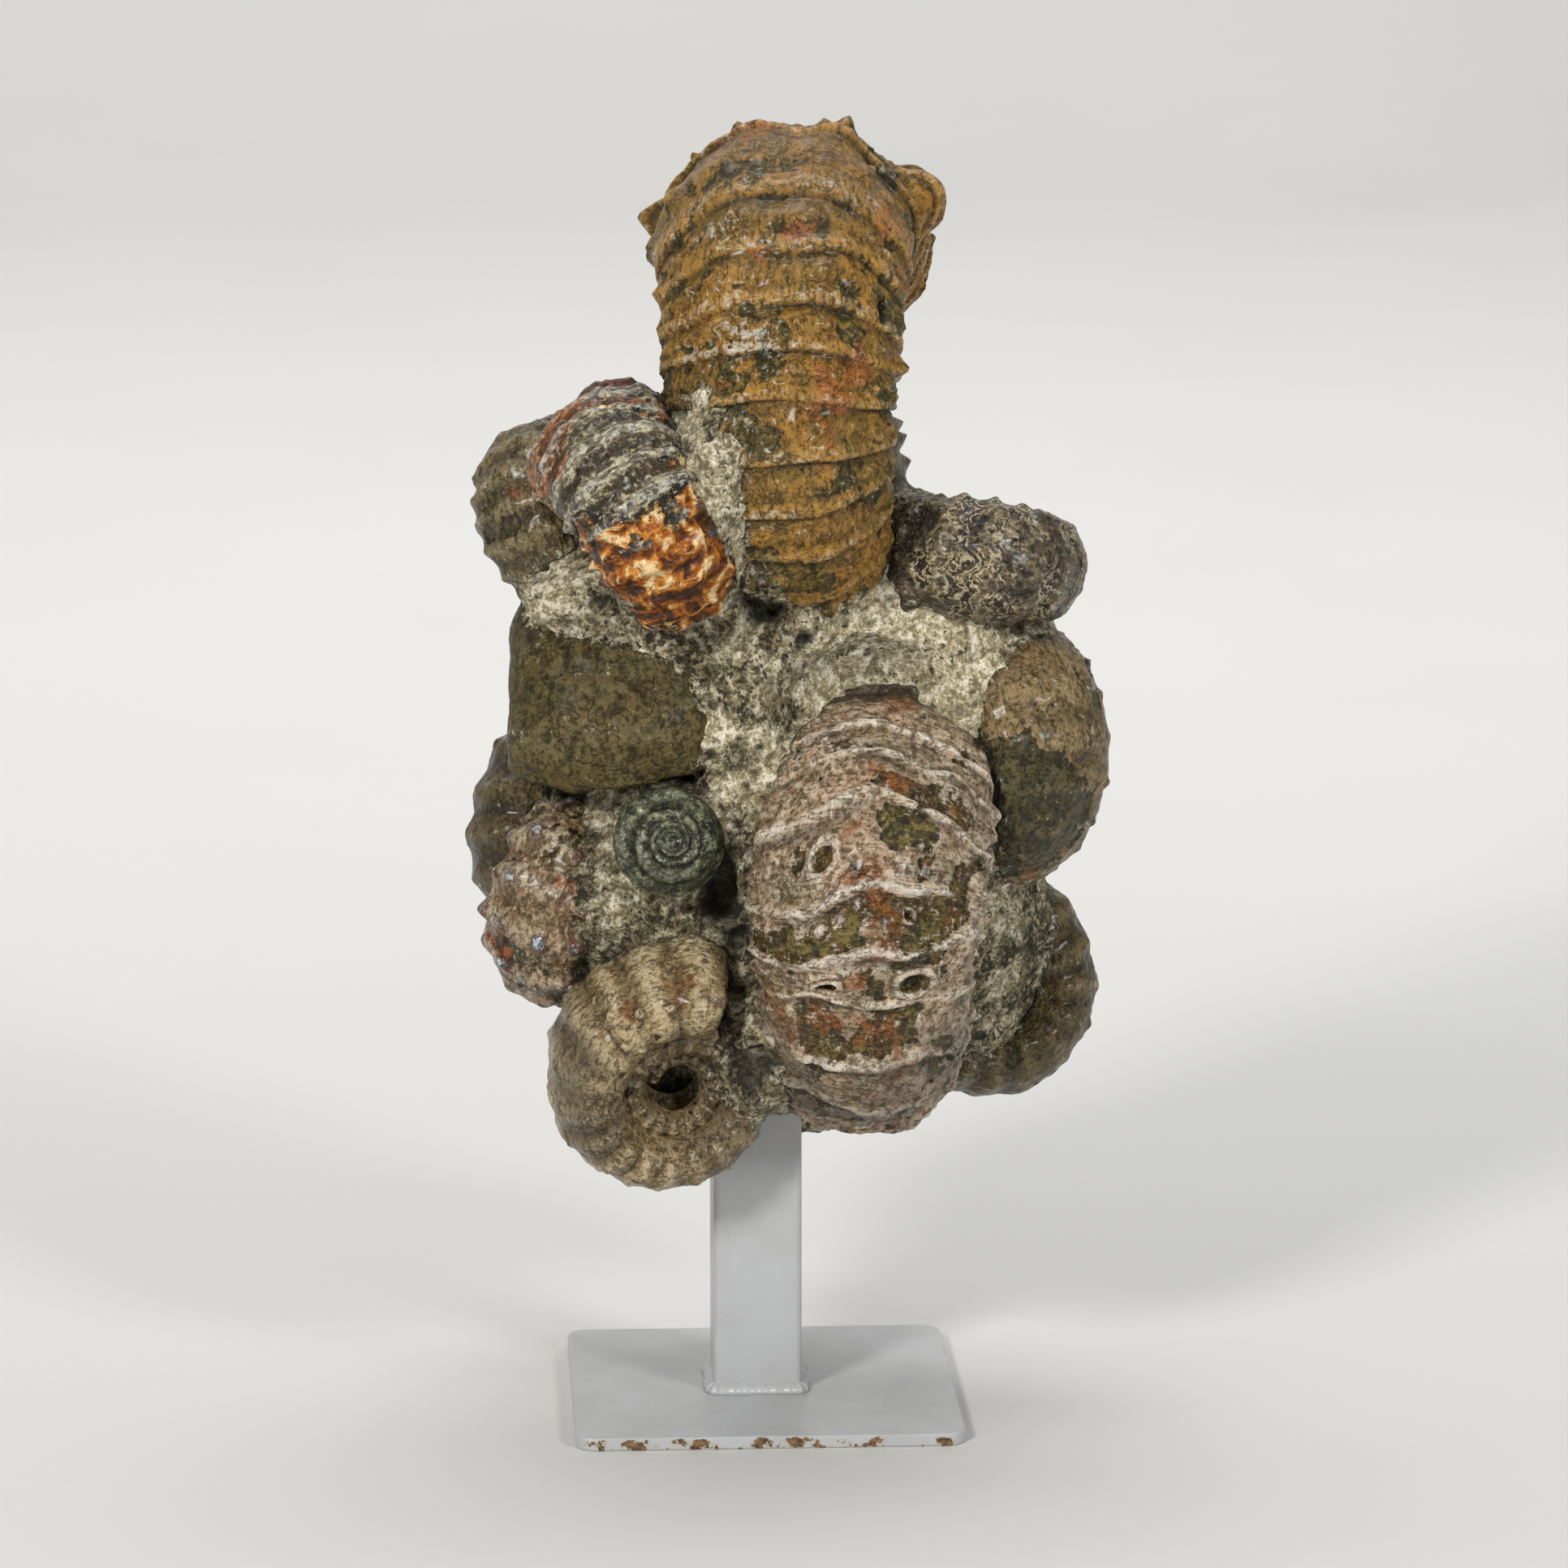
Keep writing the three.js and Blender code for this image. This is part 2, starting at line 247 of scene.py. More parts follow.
EDGE_ROUND = 0.5
plate_outline = rounded_square(PLATE_SIDE, PLATE_CORNER, 9, 60)
bend = np.linspace(0, np.pi / 2, 5)
inner_reach = (4.3, 3.0, 1.6, 0.9)
top_edge = np.stack([np.sin(bend) - 1, np.cos(bend) - 1], -1) * EDGE_ROUND + (0, PLATE_THICK)
foot_edge = np.stack([np.cos(bend) - 1, 1 - np.sin(bend)], -1) * EDGE_ROUND
plate_rings = np.array(
    [(-reach, PLATE_THICK) for reach in inner_reach] + [*top_edge, (0, 1.9), (0, 1.2), *foot_edge]
    + [(-reach, 0) for reach in reversed(inner_reach)]
)
plate_grid = stacked_rings(plate_outline, plate_rings)
# The paint is worn most on the side of the front edge, and a little on top of it.
front = np.clip((-plate_grid[..., 1] - 39) / 4.5, 0, 1)
side_on = np.clip((PLATE_THICK - 0.1 - plate_grid[..., 2]) / 0.5, 0, 1)
edge_lift = np.clip((plate_rings[:, 0] + 1.2) / 1.2, 0, 1)[:, None]
plate = closed_mesh("plate", plate_grid, {"worn": front * (0.45 * edge_lift + 0.4 * side_on)})
white_paint(plate, "white_paint_plate")
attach(plate, "root")
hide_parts("stand_plate")

# ---- post and its weld ----
# Square steel tube of 20 mm, cut to length and pushed up into the stone, painted like the plate.
# It is joined to the plate by one fillet weld all round, whose ripples show under the paint.

POST_SIDE = 20
POST_CORNER = 1.6
POST_TOP = 96
POST_X = -1.5
WELD_LEG = 2.6

post_outline = rounded_square(POST_SIDE, POST_CORNER, 7, 14)
post_levels = np.concatenate([[PLATE_THICK], np.linspace(PLATE_THICK + 1, POST_TOP - 0.4, 60)])
post_rings = [(0, level) for level in post_levels] + [(-0.4, POST_TOP)]
post_grid = stacked_rings(post_outline, post_rings)
post_grid[..., 0] += POST_X
post = closed_mesh("post", post_grid, {"worn": np.full(post_grid.shape[:2], 0.1)})
white_paint(post, "white_paint_post")
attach(post, "root")
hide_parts("stand_post")


def weld_bead(outline, leg, ripple_count):
    """A fillet weld carried round the outline, each of whose steps is cut in three: its section
    is a quarter of a rounded square between plate and tube, swelled by the ripples that the
    welder's hand leaves along it."""
    steps = 18
    along = np.repeat(outline, 3, axis=0)
    smooth = (np.roll(along, 1, 0) + along + np.roll(along, -1, 0)) / 3
    run = 2 * np.pi * np.linspace(0, 1, len(smooth), endpoint=False)[:, None]
    swell = 1 + 0.07 * np.sin(ripple_count * run) + 0.08 * np.sin(7 * run)
    turn = np.linspace(0, 2 * np.pi, steps, endpoint=False)
    out = -0.3 + (leg - 0.35) * np.clip(np.cos(turn), -0.25, 1) * swell
    up = PLATE_THICK - 0.05 + (leg - 0.3) * np.clip(np.sin(turn), 0, 1) * swell
    flat = smooth[:, None, :] + outline_normals(smooth, 2)[:, None, :] * out[..., None]
    return np.concatenate([flat, up[..., None]], -1)


bead_grid = weld_bead(post_outline, WELD_LEG, 30)
bead_grid[..., 0] += POST_X
weld = closed_mesh("post_weld", bead_grid, endless=True)
weld.data.materials.append(post.data.materials[0])
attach(weld, "root")

# ---- the large ribbed shell on top ----
# An ammonite fossil, the biggest of the cluster: its shell has turned to brown calcite and iron
# ore. Broad bands end in a sharp step, and each carries rows of small knobs and a side spine.


def chance(x, y, z, seed):
    """A fixed random number from -1 to 1 for each corner of a lattice, from its three whole
    numbers: they are multiplied by large odd numbers, added, and their bits are stirred."""
    with np.errstate(over="ignore"):
        stirred = x.astype(np.uint32) * np.uint32(374761393)
        stirred += y.astype(np.uint32) * np.uint32(668265263)
        stirred += z.astype(np.uint32) * np.uint32(2246822519)
        stirred += np.uint32(seed) * np.uint32(3266489917)
        stirred ^= stirred >> np.uint32(15)
        stirred *= np.uint32(2246822519)
        stirred ^= stirred >> np.uint32(13)
        stirred *= np.uint32(3266489917)
        stirred ^= stirred >> np.uint32(16)
    return stirred.astype(np.float32) * np.float32(2 / 2**32) - np.float32(1)


def eased(value, low, high):
    """0 below low, 1 above high, and a smooth rise between."""
    share = np.clip((value - low) / (high - low), 0, 1)
    return share * share * (3 - 2 * share)


def bell(value, middle=0.0, width=1.0):
    """1 at the middle, and exp(-d * d) away from it, with d in widths."""
    return np.exp(-(((value - middle) / width) ** 2))


def blended(corner, share, value_at):
    """A value within the cubes of a lattice: what value_at gives at the eight corners of each
    cube, weighed by the share of the way to them."""
    value = 0.0
    for step in np.ndindex(2, 2, 2):
        weight = np.prod(np.where(np.array(step) == 1, share, 1 - share), axis=-1)
        value = value + weight * value_at(*(corner[..., i] + step[i] for i in range(3)))
    return value


def lumps(points, size, seed, octaves=3, rough=0.5):
    """Smooth random hills about size apart, mostly from -1 to 1: the random numbers at the
    eight corners round a point are blended by an eased share, and each further octave is half
    as wide."""
    total = np.zeros(points.shape[:-1], np.float32)
    height, reach = 1.0, 0.0
    for octave in range(octaves):
        scaled = points / size * 2.03**octave + 17.3 * octave
        base = np.floor(scaled)
        share = eased(scaled - base, 0, 1)
        octave_seed = seed + octave
        value = blended(base.astype(np.int64), share, lambda *spot: chance(*spot, octave_seed))
        total += height * value
        reach += height
        height *= rough
    return total / reach * 1.6


# A coil: its centre, axis and the way to its mouth, whether it runs back from there against
# the clock (-1) or with it, its radius, the height and breadth of its tube at the mouth, how
# many times these grow in a turn, and how square the tube is.
Coil = namedtuple(
    "Coil", "centre axis mouth way radius height breadth growth widening corner", defaults=[0.0]
)


def coil_frame(coil):
    """Three directions of a coil: to its mouth, across that, and along its axis."""
    axis = np.array(coil.axis, float)
    axis /= np.linalg.norm(axis)
    mouth = np.array(coil.mouth, float)
    mouth -= axis * (mouth @ axis)
    mouth /= np.linalg.norm(mouth)
    return np.stack([mouth, np.cross(axis, mouth), axis])


def tube(coil, back):
    """The tube so many turns back from the mouth: its size as a share of the mouth's, its half
    height and half breadth, and how far its middle is from the axis."""
    size = coil.growth**-back
    half_height = coil.height / 2 * size
    half_breadth = coil.breadth / 2 * coil.widening**-back
    return size, half_height, half_breadth, coil.radius * size - half_height


# Where a squarish tube has its corners: the first one's degrees from the outer edge, the degrees
# from one to the next, and how far in they go.
FIRST_CORNER, CORNER_PITCH, LAST_CORNER = 24, 54, 105


def coil_surface(coil, back, around):
    """A tube wound on a growing spiral: back is in turns from the mouth, around in radians
    from the outer edge. The section is an ellipse that touches the outer edge and shrinks by
    the growth for each turn, with corners along the rows of knobs where it has them, and its
    inner side is pressed on to the turn beneath."""
    _, half_height, half_breadth, middle = tube(coil, back)
    bend = np.minimum(np.abs(around), np.deg2rad(LAST_CORNER)) - np.deg2rad(FIRST_CORNER)
    squared = 1 + coil.corner * np.cos(bend * 360 / CORNER_PITCH)
    reach = middle + np.cos(around) * half_height * squared
    across = np.sin(around) * half_breadth * squared
    beneath = half_breadth / coil.widening
    under = np.clip(1 - (across / beneath) ** 2, 0, 1)
    arch = (middle + half_height * np.sqrt(under)) / coil.growth
    pressed = (np.cos(around) < 0) & (np.abs(across) < beneath)
    reach = np.where(pressed, np.maximum(reach, arch), reach)
    turn = -coil.way * back * 2 * np.pi
    flat = np.stack([reach * np.cos(turn), reach * np.sin(turn), across], -1)
    return flat @ coil_frame(coil) + np.array(coil.centre)


def surface_normals(grid):
    """Outward normals of a grid whose columns close round, from its own differences."""
    along = np.gradient(grid, axis=0)
    around = np.roll(grid, -1, axis=1) - np.roll(grid, 1, axis=1)
    normal = np.cross(along, around)
    normal /= np.linalg.norm(normal, axis=-1, keepdims=True) + 1e-9
    middle = grid.mean(axis=1, keepdims=True)
    outward = np.sign(np.einsum("ijk,ijk->ij", normal, grid - middle).mean())
    return normal * outward


def near(points, spots, stretch=(1, 1, 1)):
    """For each spot, told by its place, its width and an amount: how far the points lie from
    it, in its widths (stretched along each direction), and its amount."""
    for *place, wide, amount in spots:
        apart = (points - np.array(place)) / np.array(stretch)
        yield np.linalg.norm(apart, axis=-1) / wide, amount


def patches(points, spots, stretch=(1, 1, 1)):
    """The sum over soft patches of the amount times a bell of the distance, as in near."""
    return sum(amount * bell(apart) for apart, amount in near(points, spots, stretch))


USUAL_KNOB = [0.5, 0]  # in the middle of its band, and round
INNER_COARSER = 2.2  # the turns that lie inside the stone need fewer rings
ROUND_COARSER = 2.35  # and each ring fewer points round it than along the coil
SEAM = 0.985  # how near the rings come to the middle of their inner side
# The filling of a mouth: how far in its rings lie, as a share, and how deep, in millimetres.
FILL_SHARES = (0.02, 0.05, 0.08, 0.14, 0.22, 0.32, 0.43, 0.55, 0.68, 0.82)
FILL_DEPTHS = (-0.4, 0.3, 1.4, 1.9, 2.2, 2.3, 2.3, 2.3, 2.3, 2.3)
shells = []


def ammonite(
    name, coil, ribs, profile, rib_height, rows, worn, seed, fine=0.8, fine_turns=0.92,
    turns=2.1, crowded=1, uneven=(), wander=0.16, broken=0.25, grooved=0.0, vary=0.6, hold=0.3,
    rough=1.0, warp=0.7, bare=(), dark_spots=(), rings=(), dents=(), spines=(), stains=(), glint_spots=(),
):
    """A whole shell. The grid follows the spiral, with the same rings in each rib. Ribs, knobs,
    chips and dents are added along the normal, and the same numbers are kept as masks.

    A turn has so many ribs, of one profile and height. Worn tells how wide, how rare and how
    deep the chips are. Fine is the millimetres between the rings of the first fine_turns, crowded
    how much they close up towards the end of a band, and uneven how far single ribs are moved, in
    ribs. Wander is how far all ribs sway, broken how much they rise and fall, grooved the depth
    of the line beside them, vary how unequal the knobs are, and hold how well ridges keep their
    shell. Rough and warp are the heights of the small and the wide lumps. The rest are spots, each
    a place, a width and an amount: bare of shell, dark spots (painted darker), ring scars (with
    painted shade in their hollows), dents (less than nothing) and bumps, spines, iron stains, and
    glint spots, patches of painted white glints."""
    # The pitch of the ribs is measured a third of a turn back, in the middle of what is seen.
    pitch = 2 * np.pi * coil.radius * coil.growth ** -0.35 / ribs
    dense = 1 - np.linspace(1, 0, max(4, round(pitch / fine)), endpoint=False) ** crowded
    coarse = np.linspace(0, 1, max(3, round(pitch / fine / INNER_COARSER)), endpoint=False)
    split = round(ribs * fine_turns)
    last = round(ribs * turns)
    phase = [np.add.outer(np.arange(0, split), dense).ravel()]
    phase += [np.add.outer(np.arange(split, last), coarse).ravel()]
    phase = np.concatenate(phase)[:, None]
    starts = np.arange(last + 1) + 0.0
    for place, shift in dict(uneven).items():
        starts[place] = place + shift

    # Round the section the points stand further apart towards the inner side.
    section = np.pi * (coil.height + coil.breadth) / 2
    half = np.linspace(0, 1, round(section / fine / ROUND_COARSER))[:-1]
    half = half + 0.16 * half**4 * (half - 0.2)
    half = half / half[-1] * SEAM
    around = np.pi * np.sort(np.concatenate([half, -half[1:]]))[None, :]

    back = np.maximum(np.interp(phase, np.arange(last + 1), starts), 0) / ribs
    base = coil_surface(coil, back, around)
    moved = lumps(base, 24, seed, 2) * wander  # the ribs' own wandering, in ribs
    back = np.maximum(back + moved / ribs * eased(phase, 0, 1), 0)
    grid = coil_surface(coil, back, around)
    normal = surface_normals(grid)

    size, half_height, half_breadth, _ = tube(coil, back)
    length = 2 * np.pi * coil.radius * size / ribs
    rib = np.floor(phase)
    share = phase - rib
    side = np.hypot(np.cos(around) * half_breadth, np.sin(around) * half_height)  # mm a radian
    outer = eased(np.cos(around), -0.75, -0.2)  # nothing is added where the next turn lies
    scale = np.sqrt(size)
    ridge, groove = profile(share)
    strength = 1 + 0.25 * chance(rib, rib * 0, rib * 0, seed + 3)
    breaks = lumps(base, 6, seed + 61, 3, 0.6) * broken
    strength = strength * np.clip(0.9 + breaks, 0.15, 1.5)
    groove = groove * np.clip(0.75 + 1.5 * lumps(base, 13, seed + 71, 2), 0.1, 1)
    lift = ridge * rib_height * scale * strength * outer - groove * grooved * scale * outer

    knob = np.zeros_like(lift)
    for row, (angle, height, long, wide, *rest) in enumerate(rows):
        middle, point = list(rest) + USUAL_KNOB[len(rest) :]
        for way in (-1, 1) if angle else (1,):
            key = np.full_like(rib, row * 2 + way)
            less, shift, turned = (chance(rib, key, key * 0 + i, seed + 5) for i in range(3))
            less = 0.5 + 0.5 * less
            there = (share - middle - 0.1 * shift) * length / (long * scale)
            turned = np.deg2rad(angle) * way + np.deg2rad(5) * turned
            beside = (around - turned) * side / (wide * scale)
            apart = np.sqrt(there**2 + beside**2)
            shape = np.exp(-(apart**2) * 1.2) if point < 1 else np.clip(1 - apart / 1.6, 0, 1) ** point
            lift = lift + height * scale * (1 - vary * less) * shape
            knob = np.maximum(knob, np.exp(-(apart**2) * 1.6) * (1 - 0.5 * less))

    chip_size, chip_rarity, chip_depth = worn
    shed = lumps(base, chip_size, seed + 11, 4, 0.55) - hold * eased(ridge, 0.4, 0.9) - chip_rarity
    shed = shed + patches(base, bare)
    # Darkening painted through the groove mask: the dark spots, and painted shade in the hollow of each
    # ring scar.
    darkened = np.zeros_like(lift)
    for apart, amount in near(base, dark_spots):
        darkened = np.maximum(darkened, amount * np.exp(-(apart**4)))
    for apart, _ in near(base, rings):
        shed = shed + 1.6 * eased(-apart, -0.95, -0.6) - 1.4 * bell(apart, 1.12, 0.25)
        darkened = np.maximum(darkened, 0.9 * eased(-apart, -0.62, -0.3))
    lift = lift - chip_depth * eased(shed, -0.05, 0.05)
    lift = lift + 0.32 * rough * lumps(base, 3.4, seed + 21, 3, 0.6)
    lift = lift + warp * lumps(base, 17, seed + 31, 2)

    for apart, tall in near(base, dents):
        lift = lift + tall * np.exp(-(apart ** (4 if tall < 0 else 2)))
    for apart, tall in near(base, spines):
        lift = lift + tall * np.clip(1 - apart, 0, 1) ** 1.3
    for apart, tall in near(base, rings):
        lift = lift + tall * (bell(apart, 1, 0.28) - 1.5 * eased(-apart, -0.85, -0.35))
        knob = np.where(apart < 1.5, 0.95 * bell(apart, 1, 0.26), knob)
    grid = grid + normal * lift[..., None]
    masks = {
        "along": 2 * np.pi * coil.radius * (1 - size) / np.log(coil.growth),
        "across": around * side.mean(axis=1, keepdims=True),
        "ridge": np.clip(ridge * (1 + 0.6 * np.minimum(breaks, 0)), 0, 1) * outer,
        "groove": np.maximum(groove * outer, darkened),
        # Where the painted white glints crowd.
        "glint_spots": np.zeros_like(lift) + patches(base, glint_spots, (1.5, 1, 0.7)),
        "knob": knob,
        "shed": shed,
        "stain": lumps(base, 15, seed + 41, 4, 0.6) + patches(base, stains),
    }

    # The mouth is closed by a few rings that step in to a rough filling.
    to_mouth, _, axis = coil_frame(coil)
    centre = coil_surface(coil, np.zeros((1, 1)), np.array([[0.0]]))[0, 0]
    centre = centre - to_mouth * coil.height / 2
    ahead = np.cross(axis, to_mouth) * coil.way
    inward = np.array(FILL_SHARES)[:, None]
    filling = grid[0] + (centre - grid[0]) * inward[..., None]
    depth = np.array(FILL_DEPTHS)[:, None] - 1.2 * lumps(filling, 7, seed + 51, 3, 0.6)
    filling = (filling - ahead * depth[..., None])[::-1]
    masks = {
        key: np.concatenate([np.repeat(mask[:1], len(filling), axis=0), mask])
        for key, mask in masks.items()
    }
    filler = np.broadcast_to(eased(inward[::-1], 0.03, 0.09), filling.shape[:2])
    masks["filled"] = np.concatenate([filler, np.zeros(lift.shape)])
    piece = closed_mesh(name, np.concatenate([filling, grid]), masks, centre - ahead * 2.0)
    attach(piece, "root")
    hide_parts("ammonite_" + name)
    shells.append((piece, coil))
    return piece


def stepped_band(share):
    """One band of the top shell: it rises through a hollow to a smooth ledge, then drops in a
    sharp step. Returns its height and the line of painted shade at the step, both from 0 to 1."""
    rise = 0.55 * eased(share, 0.0, 0.34) - 0.18 * eased(share, 0.46, 0.64)
    ledge = 0.63 * eased(share, 0.62, 0.84)
    drop = eased(share, 0.955, 1.0)
    line = bell(share, 0.995, 0.03) + bell(share, 0, 0.035)
    return (rise + ledge) * (1 - drop), np.clip(line, 0, 1)


# Each row of knobs: degrees from the outer edge, height, length along the coil, width and, where
# they aren't the usual ones, its place in the band and how pointed it is.
top_rows = [
    (0, 1.5, 2.1, 0.9, 0.42, 0),
    (12, 1.5, 1.9, 1.1, 0.42, 0),
    (25, 2.9, 1.9, 1.7, 0.45, 0),
    (44, 2.3, 2.0, 1.5, 0.42, 0),
    (60, 2.6, 2.2, 2.0),
    (79, 2.6, 2.4, 2.2, 0.62, 1.4),
    (108, 1.5, 2.6, 2.4),
]
top = ammonite(
    "top", Coil((7, 10, 223), (1, -0.11, 0.02), (0, 0.72, 0.69), -1, 68.4, 51, 61, 1.8, 1.95, 0.02),
    28, stepped_band, 1.15, top_rows, (9, 0.2, 0.45), 101,
    fine=0.88, crowded=1.25, wander=0.14, grooved=0.4, warp=0.8, hold=0.15, rough=1.5,
    uneven={
        1: -0.5, 2: -0.8, 3: -1.1, 4: -1.4, 5: -1.7, 6: -0.21, 7: -0.07, 8: -0.04, 9: -0.26,
        10: -0.34, 11: -0.26, 12: -0.27, 13: -0.24,
    },
    dents=[
        (-12.7, -35.9, 251.4, 2.3, 2.6), (-0.9, -40.8, 251.8, 1.3, 1),
        (4.5, -40.5, 253.4, 1.2, 1), (26.1, -29, 254.3, 2.1, -6),
        (26.3, -30, 251.6, 1.9, -6), (23.4, -36.4, 216, 1.5, -4.5), (27, -30, 210.3, 1.3, -4),
        (3.9, -44.9, 241, 1.2, 1), (8.7, -37.3, 198.2, 1.6, 1.2),
        (-0.9, 15.9, 287.3, 5, 1.6), (18.1, 16.1, 286.4, 4.5, 2), (9, 12, 287.5, 5, -1),
        (-12, -0.4, 280.6, 3.5, 1), (12.7, -0.3, 285.5, 3.5, 0.9),
    ],
    spines=[
        (36.8, 20, 270, 8.5, 7), (33.8, 22, 274.6, 9, 3.6), (-22.6, 18, 267.3, 5, 4.8),
        (-23.4, 3.5, 261, 4.5, 4.4), (36, 6, 257, 4, 3.2), (32, -22, 250, 4, 4.6),
        (29.8, -27, 241.5, 3.6, 3.8), (34, 4, 236, 3.5, 2.6),
    ],
    # Painted shade: the top, which faces the lamps, and the holes of the dents are darkened.
    dark_spots=[
        (7, -12, 281, 20, 0.3), (26.1, -29, 254, 2.2, 1), (26.3, -30, 251.6, 2, 1),
        (24, -36, 216, 1.6, 0.9),
    ],
    # Patches of painted white glints.
    glint_spots=[
        (-12.4, -21.9, 269.4, 5, 1), (-9.9, -34.3, 257.4, 4, 0.9), (-7.3, -39.9, 249.4, 5, 1.2),
        (-2.8, -41.9, 248.3, 3.5, 1), (-16.4, -35.2, 245.3, 5, 1), (-7.4, -44, 231.5, 4, 1),
        (22.8, -36.6, 244.7, 3.5, 0.8), (22.3, -16.2, 273.7, 4.5, 0.8), (5.1, -40.5, 253.4, 1.6, 1.1),
        (-1.5, -40.5, 252.3, 1.4, 1), (11, -37.1, 258.2, 1.4, 1), (7.3, -41.6, 205.8, 2, 0.9),
        (3.6, -44.9, 240.7, 1.5, 0.9), (10, -42, 244.6, 4, 0.7), (12, -12, 280, 3, 0.6),
    ],
    stains=[
        (6.2, -28.6, 270.1, 5, 0.8), (2.2, -33.8, 264.1, 5, 0.5), (13.6, -17.7, 277.4, 4, 0.6),
        (19, -39.4, 245.2, 4, 0.6), (8.4, -45.8, 232.6, 6, 0.7), (-9.7, -41.9, 239, 4, 0.6),
        (-2.7, -30.1, 267.3, 3, 0.3), (-16.5, -25.3, 261.5, 9, -0.6),
    ],
)


# What a weathered skin is told, besides the place and the flow along the coil: its colours, its
# amounts with their usual values, and the masks of the mesh, of which the last two are painted
# when the stone is there.
SKIN_COLOURS = ("dark", "middle", "light", "tone", "film", "film_two", "rust", "rubbed")
SKIN_AMOUNTS = {
    "film_share": 1.0, "rust_share": 0.3, "rub": 0.5, "flecks": 0.0, "glint": 0.0, "shade": 0.2,
    "gloss": 0.1,
}
SKIN_MASKS = ("ridge", "groove", "knob", "shed", "stain", "glint_spots", "filled", "buried", "hollow")


def open_group(name, **inputs):
    """A new shader node group with the named inputs of each kind. Returns its tree and the
    wires of its inputs, in their order."""
    tree = bpy.data.node_groups.new(name, "ShaderNodeTree")
    for kind, labels in inputs.items():
        for label in labels:
            tree.interface.new_socket(label, in_out="INPUT", socket_type="NodeSocket" + kind)
    given = tree.nodes.new("NodeGroupInput").outputs
    return tree, [Wire(given[label]) for labels in inputs.values() for label in labels]


def close_group(tree, **results):
    """Gives a group its outputs: a Color, and numbers under their names."""
    for label in results:
        kind = "NodeSocketColor" if label == "Color" else "NodeSocketFloat"
        tree.interface.new_socket(label, in_out="OUTPUT", socket_type=kind)
    taken = tree.nodes.new("NodeGroupOutput").inputs
    for label, wire in results.items():
        tree.links.new(wire.socket, taken[label])
    return tree


def use_group(group, inputs):
    """Places a node group, fills its inputs, and returns its outputs by name."""
    first = node("Group", inputs, node_tree=group)
    return {socket.name: Wire(socket) for socket in first.socket.node.outputs}


def most(one, other):
    """The greater of two numbers."""
    return calc("MAXIMUM", one, other)


